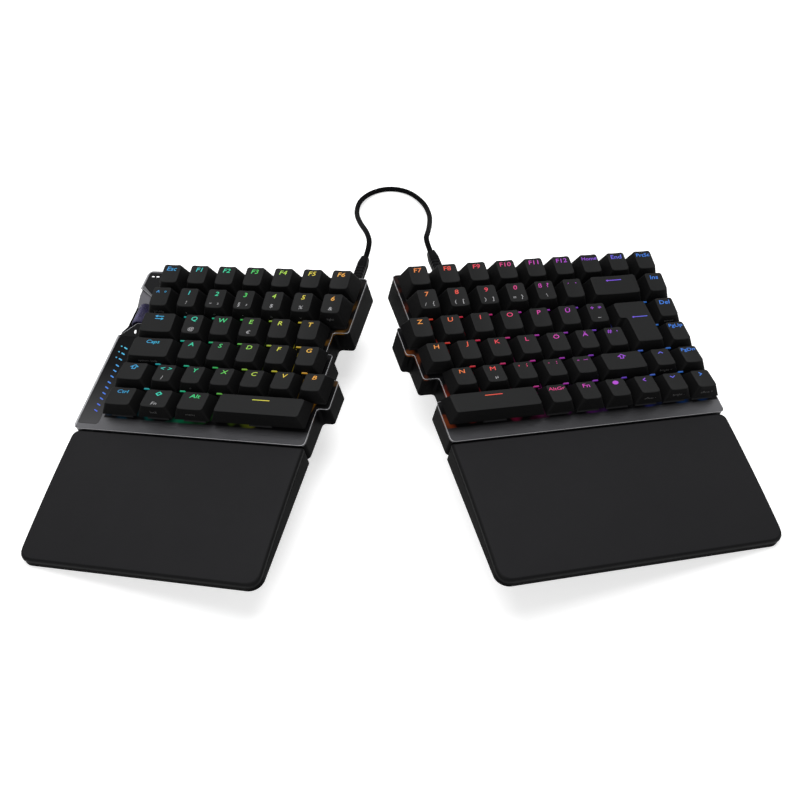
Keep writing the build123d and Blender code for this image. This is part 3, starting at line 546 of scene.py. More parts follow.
def glowing(name, half, strength, tip_only=False):
    """A finish that shines in the backlight's colours, all over or only at a light guide's tip."""
    finish = Finish(name, (0.004, 0.004, 0.004), 0.5, emission_strength=strength)
    shine = glow_colour(finish, half, LAMP_AHEAD[half.name] if tip_only else 0.0)
    if tip_only:
        tip = finish.deck_axis(half, 2).between(GUIDE_HEIGHT - GUIDE_TIP, GUIDE_HEIGHT + 1.0)
        shine = finish.mix(tip, (0, 0, 0), shine)
    finish.set("Emission Color", shine)
    return finish


legend_glow, lamp_glow = {}, {}
for half in (left, right):
    legend_glow[half.name] = glowing(half.name + "_legend_glow", half, LEGEND_STRENGTH)
    lamp_glow[half.name] = glowing(half.name + "_lamp_glow", half, LAMP_STRENGTH, True)

# %% [markdown]
# The caps are moulded in a matte charcoal plastic. Fingers polish the dish, so it is a little
# smoother than the skirt. The dish and the rim are also painted paler than the walls and the skirt,
# a painted highlight of the light from above, with faint cloudy patches on the dish, and a very fine
# grain breaks up the light. Each cap's own attribute says how near a point is to the dish.

# %% Cap finish
cap_finish = Finish("cap_plastic", (0.03, 0.03, 0.032), 0.5, specular_ior_level=0.08)
dish_share = cap_finish.node("ShaderNodeAttribute", {"attribute_name": "dish"}, output="Fac")
cap_clouds = cap_finish.noise(60.0)
# Painted highlight: the dish and the rim are paler than the walls and the skirt, as if lit from above.
cap_lit_colour = cap_finish.mix(dish_share, (0.0010, 0.0010, 0.0011), (0.0100, 0.0102, 0.0104))
# Faint cloudy paler patches on the dish only, laid over that painted highlight.
cap_lit_clouded_colour = cap_finish.mix(cap_clouds * dish_share * 0.2, cap_lit_colour, (0.020, 0.0205, 0.021))
cap_finish.set("Base Color", cap_lit_clouded_colour)
cap_finish.set("Roughness", 0.6 - 0.1 * dish_share + 0.1 * cap_clouds)
cap_finish.bump(cap_finish.noise(2600.0, 2.0), 0.25, 0.00006)

print_finish = Finish("printed_grey", (0.42, 0.42, 0.44), 0.6)
print_finish.clouded("Base Color", 900.0, (0.27, 0.27, 0.28), (0.40, 0.40, 0.41))
faint_finish = Finish("faint_print", (0.1, 0.1, 0.1), 0.6)
faint_finish.clouded("Base Color", 900.0, (0.09, 0.09, 0.09), (0.2, 0.2, 0.2))

# %% [markdown]
# A key is known by its row, its place and its width. The tables give, for each key of both halves'
# rows, its width in key units and what it says: glowing signs near its rear edge, grey signs near
# its front edge, and a faint print on its front face. A key of one unit with nothing but a glowing
# sign is that sign alone. A negative width leaves room for the tall key. The two keys that carry a
# maker's sign on many keyboards get a plain diamond and a plain dot.

# %% Key tables
ROW_HEIGHTS = np.array([0.782, 0.761, 0.630, 0.583, 0.583, 0.577]) * UNIT
ROW_DEPTHS = np.array([0.704, 0.702, 0.716, 0.752, 0.716, 0.730]) * UNIT
ROW_TILTS = np.radians([8.8, 9.0, 6.6, 0.0, -5.1, -5.6])
CAP_TAPER, KEY_GAP, SKIRT_HEIGHT, DISH_DEPTH = 7.2, 0.95, 3.9, 0.5

left_rows = (
    ((1, "Esc", "", "lock"), (1, "F1", "", "<<"), (1, "F2", "", "> II"), (1, "F3", "", ">>"),
     (1, "F4", "", "x"), (1, "F5", "", "-"), (1, "F6", "", "+")),
    ((1, "^ °", "", "profile"), (1, "1", "!", "v"), (1, "2", '" ²', "o"), (1, "3", "§ ³", "^"),
     (1, "4", "$", "o"), (1, "5", "%", "v"), (1, "6", "&", "light")),
    ((1.5, "tab"), (1, "Q", "@"), "W", (1, "E", "€"), "R", "T"),
    ((1.75, "Caps", "", "system lock"), "A", "S", "D", "F", "G"),
    ((1.25, "shift"), (1, "< >", "|"), (1, "Y", "", "o"), "X", "C", "V", "B"),
    ((1.25, "Ctrl"), (1.25, "diamond", "Fn", "lock"), (1.25, "Alt", "", "menu"), (3.125, "stroke")),
)
right_rows = (
    ((1, "F7", "", "1"), (1, "F8", "", "2"), (1, "F9", "", "3"), (1, "F10", "", "4"),
     (1, "F11", "", "5"), (1, "F12", "", "6"), (1, "Home", "", "roll"), (1, "End", "", "break"),
     "PrtSc"),
    ((1, "7", "/ {"), (1, "8", "( ["), (1, "9", ") ]"), (1, "0", "= }"), (1, "ß ?", "\\"), "´ `",
     (2, "long"), "Ins"),
    ("Z", "U", "I", "O", "P", "Ü", (1, "+ *", "~"), (-1.5,), (1, "Del", "", "pause")),
    ("H", "J", "K", "L", "Ö", "Ä", "# '", (-1.25,), "PgUp"),
    ("N", (1, "M", "µ"), ", ;", ". :", "- _", (1.75, "shift"), (1, "up", "", "bright +"), "PgDn"),
    ((3.125, "stroke"), "AltGr", "Fn", "dot", (1, "left", "", "effect -"),
     (1, "down", "", "bright -"), (1, "right", "", "effect +")),
)
print("entries in the rows, gaps too:", sum(len(row) for row in left_rows + right_rows))

# %% [markdown]
# In the frame, the keys that move together are one node. So each node is listed with its half and
# with its keys as spans: a row, the first key and the one after the last. Where a key stands follows
# from the widths before it, so no place is written down.

# %% Key pieces
key_pieces = (
    ("escape_key", left, (0, 0, 1)),
    ("left_function_keys", left, (0, 1, 7)),
    ("left_number_keys", left, (1, 0, 7)),
    ("tab_key", left, (2, 0, 1)),
    ("left_upper_letter_keys", left, (2, 1, 6)),
    ("caps_key", left, (3, 0, 1)),
    ("left_home_letter_keys", left, (3, 1, 6)),
    ("left_shift_key", left, (4, 0, 1)),
    ("left_lower_letter_keys", left, (4, 1, 7)),
    ("left_modifier_keys", left, (5, 0, 3)),
    ("left_space_key", left, (5, 3, 4)),
    ("right_function_keys", right, (0, 0, 6)),
    ("right_number_keys", right, (1, 0, 6)),
    ("backspace_key", right, (1, 6, 7)),
    ("right_upper_letter_keys", right, (2, 0, 7)),
    ("right_home_letter_keys", right, (3, 0, 7)),
    ("right_lower_letter_keys", right, (4, 0, 5)),
    ("right_shift_key", right, (4, 5, 6)),
    ("right_space_key", right, (5, 0, 1)),
    ("right_modifier_keys", right, (5, 1, 4)),
    ("up_key", right, (4, 6, 7)),
    ("left_arrow_key", right, (5, 4, 5)),
    ("down_key", right, (5, 5, 6)),
    ("right_arrow_key", right, (5, 6, 7)),
    ("navigation_keys", right, (0, 6, 9), (1, 7, 8), (2, 8, 9), (3, 8, 9), (4, 7, 8)),
)


def key_places(half):
    """Every key as (row, number, centre x, centre y, width, its signs), by adding up the widths."""
    for row, keys in enumerate(left_rows if half is left else right_rows):
        edge = half.start_shares[row] * UNIT
        for number, key in enumerate(keys):
            width, *signs = (1, key) if isinstance(key, str) else key
            if width > 0:
                signs = (signs + ["", ""])[:3]
                yield row, number, edge + width * UNIT / 2, -(row + 0.5) * UNIT, width, signs
            edge += abs(width) * UNIT


print("keys on the halves:", [len(list(key_places(half))) for half in (left, right)])

# %% [markdown]
# A cap is one closed surface. Its rings start at the roof inside, run down the inner wall, turn
# round the lower lip, climb the outer wall, roll over a soft rim and close in the middle of the
# dish. The dish is a parabola across the width, and its plane is tilted by the row.

# %% Cap shape
RIM, CAP_WALL, CAP_ROOF = 0.45, 1.0, 2.0
SKIRT_ROUND, TOP_ROUND, INNER_SKIRT_ROUND, INNER_TOP_ROUND = 1.0, 2.0, 0.6, 1.2
WALL_SHARES, RIM_ANGLES = (0.02, 0.3, 0.6, 0.9), np.radians([0, 30, 60, 90])
DISH_SHARES = (0.86, 0.7, 0.5, 0.3, 0.12)


class Cap:
    """The shape of one cap about its centre: outlines at the skirt and at the top, and a height."""

    def __init__(self, skirt, top, height, tilt, dish, middle=(0, 0)):
        self.skirt, self.top, self.height, self.tilt, self.dish = skirt, top, height, tilt, dish
        self.middle = np.array(middle, float)
        self.half_width = np.abs(np.asarray(top)[:, 0]).max()

    def surface(self, points):
        """Height over the deck: the tilted plane less a parabola that is deepest in the middle."""
        x, y = points[..., 0], points[..., 1]
        hollow = self.dish * (1 - np.clip(x / self.half_width, -1, 1) ** 2)
        return self.height + y * np.tan(self.tilt) - hollow

    def rings(self):
        """All rings from the inner roof, round the lip and over the rim to the middle of the dish."""
        skirt, top = rounded(self.skirt, SKIRT_ROUND), rounded(self.top, TOP_ROUND)
        inner_skirt = rounded(drawn_in(self.skirt, CAP_WALL), INNER_SKIRT_ROUND)
        inner_top = rounded(drawn_in(self.top, CAP_WALL), INNER_TOP_ROUND)
        rings, marks = [], []

        def ring(outline, height, mark=0.0):
            rings.append(np.column_stack([outline, np.broadcast_to(height, len(outline))]))
            marks.append(mark)

        near_middle = self.middle + (inner_top - self.middle) * 0.1
        ring(near_middle, self.surface(near_middle) - CAP_ROOF)
        ring(inner_top, self.surface(inner_top) - CAP_ROOF)
        ring(inner_skirt, SKIRT_HEIGHT)
        ring(skirt, SKIRT_HEIGHT)
        climb = self.surface(top) - RIM - SKIRT_HEIGHT
        for share in WALL_SHARES:
            ring(skirt + (top - skirt) * share, SKIRT_HEIGHT + climb * share, 0.1 * share)
        shrink = RIM / self.half_width
        for angle in RIM_ANGLES:
            outline = self.middle + (top - self.middle) * (1 - shrink * (1 - np.cos(angle)))
            ring(outline, self.surface(outline) - RIM * (1 - np.sin(angle)), np.sin(angle))
        for share in DISH_SHARES:
            outline = self.middle + (top - self.middle) * share
            ring(outline, self.surface(outline), 1.0)
        return np.array(rings), np.array(marks)


def plain_cap(row, width):
    """A cap with four sides: wide ones only get longer, and the space keys stay flat."""
    depth = ROW_DEPTHS[row] * np.cos(ROW_TILTS[row])
    dish = 0.0 if width > 3 else DISH_DEPTH
    skirt = oblong(width * UNIT - KEY_GAP, UNIT - KEY_GAP)
    top = oblong(width * UNIT - CAP_TAPER, depth)
    return Cap(skirt, top, ROW_HEIGHTS[row], ROW_TILTS[row], dish)


print("rings of a cap:", len(plain_cap(3, 1).rings()[1]))

# %% [markdown]
# The tall key spans two rows and is wider in the upper one, so its outline has six corners. Its top
# is flat. The rings on it shrink towards a point in its upper part that sees all the corners, so
# that no ring crosses itself.

# %% Tall key
ENTER_X, ENTER_Y, ENTER_MIDDLE = 7.375 * UNIT, -3 * UNIT, 0.3 * UNIT


def stepped(side, top, bottom):
    """Six corners of the tall key: 1.5 units wide in its upper row and 1.25 in its lower one."""
    wide, narrow, edge = -0.875 * UNIT + side, -0.625 * UNIT + side, 0.625 * UNIT - side
    return np.array([
        (narrow, -UNIT + bottom), (edge, -UNIT + bottom), (edge, UNIT - top),
        (wide, UNIT - top), (wide, side), (narrow, side),
    ])


enter_edge, enter_slope = KEY_GAP / 2, CAP_TAPER / 2
enter_cap = Cap(
    stepped(enter_edge, enter_edge, enter_edge),
    stepped(enter_slope, enter_slope - enter_edge, enter_slope - enter_edge),
    ROW_HEIGHTS[2] - DISH_DEPTH, 0.0, 0.0, middle=(0, ENTER_MIDDLE),
)
print("tall key's height in millimetres:", enter_cap.height)

# %% [markdown]
# Now every cap goes to its place. A point about a key's centre only needs that centre added to be a
# point on the deck. Each node gets one object with all its caps, which moves with the node and
# stands in the place of its plain solid.

# %% Caps


def at(half, x, y):
    """A function that moves points about a key's centre onto the deck and turns them into metres."""
    return lambda points: half.deck(points + [x, y, 0])


def all_caps():
    """Each key node's name with its half and its caps as (cap, x, y, signs)."""
    for name, half, *spans in key_pieces:
        wanted = {(row, number) for row, *span in spans for number in range(*span)}
        yield name, half, [
            (plain_cap(row, width), x, y, signs)
            for row, number, x, y, width, signs in key_places(half) if (row, number) in wanted
        ]
    yield "enter_key", right, [(enter_cap, ENTER_X, ENTER_Y, ["long", "", ""])]


cap_total = 0
for node, half, caps in all_caps():
    shell = Shell()
    for cap, x, y, signs in caps:
        cap_rings, cap_marks = cap.rings()
        shell.add_rings(cap_rings, at(half, x, y), cap_marks)
    piece = shell.make(node + "_caps", node, cap_finish, 40)
    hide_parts(node)
    cap_total += len(caps)
print("caps:", cap_total)

# %% [markdown]
# Most legends are letters, and a few are symbols: arrows, a stroke, a diamond and a dot. A symbol is
# one outline or more, written as corners about its middle, and an outline inside another is a hole.
# The four small arrows are one chevron, turned by quarters.

# %% Symbols
drawn_signs = {
    "shift": (
        [(0, 0.5), (0.55, 0), (0.24, 0), (0.24, -0.4), (-0.24, -0.4), (-0.24, 0), (-0.55, 0)],
        [(0, 0.36), (-0.3, 0.09), (-0.14, 0.09), (-0.14, -0.3), (0.14, -0.3), (0.14, 0.09),
         (0.3, 0.09)],
    ),
    "tab": (
        [(-0.62, 0.22), (-0.3, 0.44), (-0.3, 0.27), (0.5, 0.27), (0.5, 0.17), (-0.3, 0.17), (-0.3, 0)],
        [(0.62, -0.22), (0.3, 0), (0.3, -0.17), (-0.5, -0.17), (-0.5, -0.27), (0.3, -0.27),
         (0.3, -0.44)],
    ),
    "long": (
        [(-1, 0), (-0.76, 0.19), (-0.76, 0.06), (1, 0.06), (1, -0.06), (-0.76, -0.06), (-0.76, -0.19)],
    ),
    "stroke": ([(-1, 0.06), (1, 0.06), (1, -0.06), (-1, -0.06)],),
    "diamond": (
        [(0, 0.42), (0.42, 0), (0, -0.42), (-0.42, 0)],
        [(0, 0.24), (-0.24, 0), (0, -0.24), (0.24, 0)],
    ),
}
round_turn = np.linspace(0, 2 * np.pi, 20, endpoint=False)
drawn_signs["dot"] = (0.36 * np.column_stack([np.cos(round_turn), np.sin(round_turn)]),)
chevron = np.array([
    (0, 0.24), (-0.34, -0.1), (-0.26, -0.18), (0, 0.08), (0.26, -0.18), (0.34, -0.1)])
for quarter, name in enumerate(("up", "left", "down", "right")):
    drawn_signs[name] = (chevron @ turn(2, quarter * np.pi / 2)[:2, :2].T,)
print("symbols:", sorted(drawn_signs))

# %% [markdown]
# Letters are set in type and symbols drawn as a flat curve, and both are filled and made a little
# thick, so that a sign is a closed solid. A sign is turned into a mesh once, however many keys carry
# it, and kept for the next one.

# %% Sign meshes
SIGN_THICKNESS = 0.012


def sign_curve(text):
    """A flat filled curve of a sign: typed where it is letters, drawn where it is a symbol."""
    if text not in drawn_signs:
        curve = bpy.data.curves.new("sign", "FONT")
        curve.body, curve.resolution_u = text, 3
        return curve
    curve = bpy.data.curves.new("sign", "CURVE")
    curve.dimensions, curve.fill_mode = "2D", "BOTH"
    for corners in drawn_signs[text]:
        outline = curve.splines.new("POLY")
        outline.points.add(len(corners) - 1)
        outline.points.foreach_set("co", [value for x, y in corners for value in (x, y, 0, 1)])
        outline.use_cyclic_u = True
    return curve


@cache
def sign_mesh(text):
    """Points and faces of a sign of height 1, thin and closed, with its middle at the origin."""
    curve = sign_curve(text)
    curve.extrude = SIGN_THICKNESS
    mesh, points = mesh_of(curve)
    mesh.calc_loop_triangles()
    faces = np.empty(len(mesh.loop_triangles) * 3, int)
    mesh.loop_triangles.foreach_get("vertices", faces)
    points[:, :2] -= (points[:, :2].min(axis=0) + points[:, :2].max(axis=0)) / 2
    return points, faces.reshape(-1, 3)


print("points of the letter Q:", len(sign_mesh("Q")[0]))

# %% [markdown]
# A sign is laid on its dish point by point: each point keeps its place across the cap and takes its
# height from the dish's own formula, so no sign floats or sinks. The letters on the photographed
# keys are broad and lean a little, so a plain typeface is widened and slanted on the way. On the
# front of a cap, a point's height is a share of the way up the sloping face.

# %% Laying signs
SIGN_WIDENING, SIGN_SLANT, SIGN_LIFT, WORD_SHARE = 1.3, 0.15, 0.05, 0.86
SIDE_MARGIN, SIGN_GAP, SIGN_SPACING, ENTER_SIGN = 1.6, 0.6, 5.0, (0.2, 3.6)


def lay_sign(shell, text, cap, place, on_cap, size, room):
    """Lays a sign on a dish: widened, slanted, no wider than its room, and raised by the dish."""
    points, faces = sign_mesh(text)
    width = 2 * points[:, 0].max() * SIGN_WIDENING
    size = min(size, room / width)
    flat = points[:, :2] * [size * SIGN_WIDENING, size]
    flat[:, 0] += flat[:, 1] * SIGN_SLANT
    flat += on_cap
    height = cap.surface(flat) + SIGN_LIFT + points[:, 2] * size
    shell.add(place(np.column_stack([flat, height])), [], faces)


def lay_signs(shell, signs, cap, place, along, size):
    """Lays signs side by side on a dish, in equal shares of its width, and words a little smaller."""
    signs = signs.split()
    room = (2 * cap.half_width - SIDE_MARGIN) / max(len(signs), 1) - SIGN_GAP * (len(signs) > 1)
    for number, sign in enumerate(signs):
        spacing = room + SIGN_GAP if len(sign) > 2 else SIGN_SPACING
        across = ENTER_SIGN[0] if cap is enter_cap else (number - (len(signs) - 1) / 2) * spacing
        is_word = len(sign) > 3 and sign not in drawn_signs
        lay_sign(shell, sign, cap, place, (across, along), size * (WORD_SHARE if is_word else 1), room)


def front_sign(shell, text, cap, place, size):
    """Lays a sign on a cap's sloping front face: up the face, just proud of it."""
    points, faces = sign_mesh(text)
    low, high = np.asarray(cap.skirt)[:, 1].min(), np.asarray(cap.top)[:, 1].min()
    rise = cap.surface(np.array([0.0, high])) - SKIRT_HEIGHT
    share = 0.5 + points[:, 1] * size / np.hypot(rise, high - low)
    across, along = points[:, 0] * size * SIGN_WIDENING, low + (high - low) * share - SIGN_LIFT
    shell.add(place(np.column_stack([across, along, SKIRT_HEIGHT + rise * share])), [], faces)


# %% [markdown]
# The glowing legends are windows that let the lamp through, the grey ones are printed on the dish,
# and the front ones are a faint print. Each kind has a finish of its own, so it is an object of its
# own, one per node, and moves with the keys of that node.

# %% Legends
GLOW_SIZE, PRINT_SIZE, FRONT_SIZE, GLOW_MARGIN, PRINT_MARGIN = 4.1, 3.2, 2.1, 3.2, 3.0

for node, half, caps in all_caps():
    glow_shell, print_shell, faint_shell = Shell(), Shell(), Shell()
    for cap, x, y, (shining, printed, front) in caps:
        place, rear = at(half, x, y), np.asarray(cap.top)[:, 1].max()
        upper = ENTER_SIGN[1] if cap is enter_cap else rear - GLOW_MARGIN
        lay_signs(glow_shell, shining, cap, place, upper, GLOW_SIZE)
        lay_signs(print_shell, printed, cap, place, PRINT_MARGIN - rear, PRINT_SIZE)
        if front:
            front_sign(faint_shell, front, cap, place, FRONT_SIZE)
    for shell, finish, ending in (
        (glow_shell, legend_glow[half.name], "_legends"),
        (print_shell, print_finish, "_prints"),
        (faint_shell, faint_finish, "_front_prints"),
    ):
        if shell.total:
            piece = shell.make(node + ending, node, finish, 30)
print("signs set:", sign_mesh.cache_info().currsize)

# %% [markdown]
# The lamps shine up in the slots between the rows. From the front the caps hide these slots, except
# where two neighbours' sloping sides leave a notch, and there one sees a short bright dash. So a
# small clear light guide stands on the plate at the rear of each notch. It is narrower than the
# slot, and the caps lean away from it, so they pass it when they are pressed. Only its tip shines,
# a painted glow that stands for the lamps' light seen in the notch.

# %% Light guides between the rows
BLOCK_ROUND, BLOCK_TOP = 0.35, 0.8


def block_rings(length, width, low, high):
    """A small rounded block: its outline at the foot and near the top, and drawn in at the top."""
    outline = rounded(oblong(width, length), min(width, length) * BLOCK_ROUND)
    rings = ((1.0, low), (1.0, high - 0.1 * (high - low)), (BLOCK_TOP, high))
    return np.array([np.column_stack([outline * s, np.full(len(outline), h)]) for s, h in rings])


for half in (left, right):
    shell = Shell()
    guide = block_rings(GUIDE_WIDTH, GUIDE_LENGTH, 0.0, GUIDE_HEIGHT)
    for row, number, x, y, width, signs in key_places(half):
        if row > 1 and number:
            shell.add_rings(guide, at(half, x - width * UNIT / 2, y + UNIT / 2))
    # The guides' tips carry a painted glow for the lamps' light in the notches.
    piece = shell.make(half.name + "_light_guides", half.body, lamp_glow[half.name])

# %% [markdown]
# The top plate is brushed, anodised metal. Its grain runs across the keyboard, so a noise that is
# stretched along the deck's x axis drives colour, roughness and bump. Towards each half's outer end
# the metal is painted paler, a painted reflection. It is painted black under the keys and in the
# corner in front of the scoop, as painted shade, and under the keys the lamps' wash is a painted
# glow in soft patches.

# %% Top plates
PLATE_SHADE_BLACK, PLATE_METAL = (0.006, 0.006, 0.0065), ((0.022, 0.022, 0.024), (0.15, 0.15, 0.158))
GRAIN_STRETCH = 0.02
KEYS_FRONT, KEYS_REAR, KEYS_RIGHT = -6 * UNIT, 30.0, 9.1 * UNIT
KEYS_LEFT = {"left": -0.6, "right": -30.0}
PAINTED_SHEEN = {"left": (40.0, -60.0), "right": (120.0, 60.0)}
CORNER_ACROSS, CORNER_ALONG = (-20.0, 0.0), (-51.0, -38.0)
PATCH_SIZE, PATCH_LOW, PATCH_RISE, PATCH_SHARE = 85.0, 0.52, 3.5, 0.55
PATCH_REAR, PATCH_REACH, FRONT_DIMMING = 8.0, 60.0, 0.6

for half in (left, right):
    finish = Finish(half.name + "_plate_metal", (0.1, 0.1, 0.1), 0.36,
                    specular_ior_level=0.04, emission_strength=0.45)
    across, along = finish.deck_axis(half, 0), finish.deck_axis(half, 1)
    stretched = finish.node("ShaderNodeCombineXYZ", {}, {0: across * GRAIN_STRETCH, 1: along, 2: 0.0})
    grain = finish.noise(5.0, 4.0, stretched)
    under_keys = along.between(KEYS_FRONT + 0.4, KEYS_REAR, 0.8)
    under_keys = under_keys * across.between(KEYS_LEFT[half.name], KEYS_RIGHT, 0.6)
    # Painted reflection: the metal is paler towards the outer end of each half.
    sheen_start, sheen_width = PAINTED_SHEEN[half.name]
    outward_sheen = ((across - sheen_start) / sheen_width).held()
    metal = finish.mix(grain * 0.4 + outward_sheen * 0.6, *PLATE_METAL)
    # Painted shade: black under the keys and in the corner in front of the scoop.
    dark = under_keys
    if half is left:
        corner = along.between(*CORNER_ALONG) * across.between(*CORNER_ACROSS)
        dark = (under_keys + corner).held()
    finish.set("Base Color", finish.mix(dark, metal, PLATE_SHADE_BLACK))
    finish.set("Metallic", 0.8 - 0.8 * dark)
    finish.set("Roughness", 0.3 + 0.16 * grain)
    finish.bump(grain, 0.2, 0.00008)
    # Painted glow: the lamps' wash on the plate under the keys, in soft patches, dimmed along the
    # front row.
    patches = ((finish.noise(PATCH_SIZE, 1.0) - PATCH_LOW) * PATCH_RISE).held()
    patches = patches * ((PATCH_REAR - along) / PATCH_REACH).held()
    before_keys = along.between(KEYS_FRONT - 1.0, KEYS_FRONT + 0.5 * UNIT)
    lamp_wash_mask = under_keys * patches * PATCH_SHARE * (1 - FRONT_DIMMING * before_keys)
    shine = finish.mix(lamp_wash_mask, (0, 0, 0), glow_colour(finish, half, LAMP_AHEAD[half.name]))
    finish.set("Emission Color", shine)
    dress(nodes[half.name + "_top_plate"], finish)

# %% [markdown]
# A thin bright line runs round each plate where its edge was cut after anodising. It is a bead of
# bare metal carried along the plate's own outline: a small half-round profile swept round a closed
# path, with the path's side direction from the difference of its neighbours. On the left half's
# outer side the cut is broader, and so is the bead.

# %% Bright edges
BEAD_WIDTH, BEAD_BROADER, BEAD_HEIGHT, BEAD_SUNK, BEAD_SIDES = 0.2, 0.5, 0.2, 0.16, 8
PLATE_ROUND, STEP_ROUND, SCOOP_ROUND, STEP_MARGIN = 3.0, 2.0, 0.3, 1.0
SCOOP = ((-15.7, -49.6), (-7.6, -39.6), (-2.6, -39.6), (-2.6, -16.2), (-7.6, -16.2), (-15.7, -10.4))


def plate_outline(half):
    """The outline's corners and radii: along the rear, down the steps, back, and round the scoop."""
    corners = [(half.outer, REAR_MARGIN), (half.inner(0), REAR_MARGIN)]
    radii = [PLATE_ROUND, PLATE_ROUND]
    for row in range(1, 6):
        last, now = half.inner(row - 1), half.inner(row)
        if last != now:
            step = -row * UNIT + STEP_MARGIN * np.sign((now - last) * half.side)
            corners += [(last, step), (now, step)]
            radii += [STEP_ROUND, STEP_ROUND]
    corners += [(half.inner(5), FRONT), (half.outer, FRONT)]
    radii += [PLATE_ROUND, PLATE_ROUND]
    if half is left:
        corners += [(half.outer, SCOOP[0][1]), *SCOOP, (half.outer, SCOOP[-1][1])]
        radii += [SCOOP_ROUND] * (len(SCOOP) + 2)
    return np.array(corners), np.array(radii)


def bead_rings(path, width, height):
    """A closed bead: round each path point, sideways by a cosine and upwards by a sine."""
    ahead = unit(np.roll(path, -1, axis=0) - np.roll(path, 1, axis=0))
    side = np.column_stack([ahead[:, 1], -ahead[:, 0]])
    angle = np.linspace(0, -2 * np.pi, BEAD_SIDES, endpoint=False)
    flat = path[:, None] + side[:, None] * np.cos(angle)[None, :, None] * width[:, None, None]
    lift = np.broadcast_to(np.sin(angle) * height, flat.shape[:2])
    return np.concatenate([flat, lift[..., None]], axis=2)


bright_finish = Finish("bright_edge", (0.26, 0.26, 0.27), 0.4, 1.0)
bright_finish.roughened(0.35, 0.2, 300.0)
for half in (left, right):
    path = rounded(*plate_outline(half))
    path = path[np.linalg.norm(path - np.roll(path, 1, axis=0), axis=1) > 1e-6]
    if half is right:
        path = path[::-1]
    on_outer_rim = (np.abs(path[:, 0] - half.outer) < 0.1) & (half is left)
    rings = bead_rings(path, BEAD_WIDTH + BEAD_BROADER * on_outer_rim, BEAD_HEIGHT)
    rings[..., 2] -= BEAD_SUNK
    shell = Shell()
    shell.add_rings(rings, half.deck, closed=True)
    piece = shell.make(half.name + "_bright_edge", half.body, bright_finish, 60)

# %% [markdown]
# The cases are satin black mouldings with a fine texture. On the left one, the scoop that leads to
# the volume wheel has a pale silver facet at its rear and a dark one in front, which the finish puts
# where the deck's coordinates say.

# %% Cases
FACET_DEPTH, FACET_ACROSS = (-5.2, 0.5), (-20.0, -2.0)
REAR_FACET, FRONT_FACET = (-23.2, -9.0), (-50.5, -38.0)

for half in (left, right):
    finish = Finish(half.name + "_case_plastic", (0.012, 0.012, 0.013), 0.45, specular_ior_level=0.012)
    clouds = finish.noise(35.0)
    colour = finish.mix(clouds, (0.0012, 0.0012, 0.0014), (0.0028, 0.0028, 0.0031))
    if half is left:
        across, along = finish.deck_axis(half, 0), finish.deck_axis(half, 1)
        in_scoop = across.between(*FACET_ACROSS) * finish.deck_axis(half, 2).between(*FACET_DEPTH)
        facet = along.between(*REAR_FACET) * in_scoop
        colour = finish.mix(facet, colour, (0.12, 0.118, 0.13))
        colour = finish.mix(along.between(*FRONT_FACET) * in_scoop, colour, (0.006, 0.006, 0.009))
        finish.set("Metallic", 0.6 * facet)
    finish.set("Base Color", colour)
    finish.set("Roughness", 0.4 + 0.14 * clouds)
    finish.bump(finish.noise(1800.0, 2.0), 0.3, 0.00008)
    for ending in ("_base_case", "_palm_rest_base", "_tent_leg"):
        dress(nodes[half.name + ending], finish)

# %% [markdown]
# The palm rests have a soft-touch top with rounded edges and a gentle crown, and their sides are
# darker than the face. The surface starts as the rest's own outline, rises by its side, rolls over a
# rim and closes in the middle. Its height along the depth is the parabola through three heights, at
# its rear edge, near its middle and at its front edge.

# %% Palm rest pads
REST_REAR, REST_LENGTH, PAD_THICKNESS, PAD_RIM = FRONT - 1.0, 87.8, 3.0, 1.5
PAD_CROWN, PAD_SEAM, PAD_ROUNDS = 0.25, 0.03, (5.0, 8.0, 8.0, 1.2)
PAD_RIM_ANGLES, PAD_SHARES = np.radians([20, 40, 60, 80, 90]), np.linspace(0.94, 0.06, 12)
REST_HEIGHTS, REST_SHARES = (13.3, 10.6, 5.8), np.array([0.0, 0.49, 1.0])
rest_curve = np.polyfit(REST_REAR - REST_SHARES * REST_LENGTH, REST_HEIGHTS, 2)

pad_finish = Finish("soft_touch", (0.015, 0.015, 0.016), 0.6, specular_ior_level=0.08)
pad_clouds = pad_finish.noise(14.0)
pad_colour = pad_finish.mix(pad_clouds, (0.0080, 0.0079, 0.0087), (0.0112, 0.0110, 0.0121))
pad_face = pad_finish.node("ShaderNodeAttribute", {"attribute_name": "dish"}, output="Fac")
pad_finish.set("Base Color", pad_finish.mix(pad_face, (0.0022, 0.0022, 0.0025), pad_colour))
pad_finish.roughened(0.55, 0.12, 60.0)
pad_grain = {"Vector": pad_finish.place, "Scale": 1500.0}
pad_cells = pad_finish.node("ShaderNodeTexVoronoi", {"feature": "DISTANCE_TO_EDGE"}, pad_grain)
pad_finish.bump(pad_cells, 0.35, 0.00012)


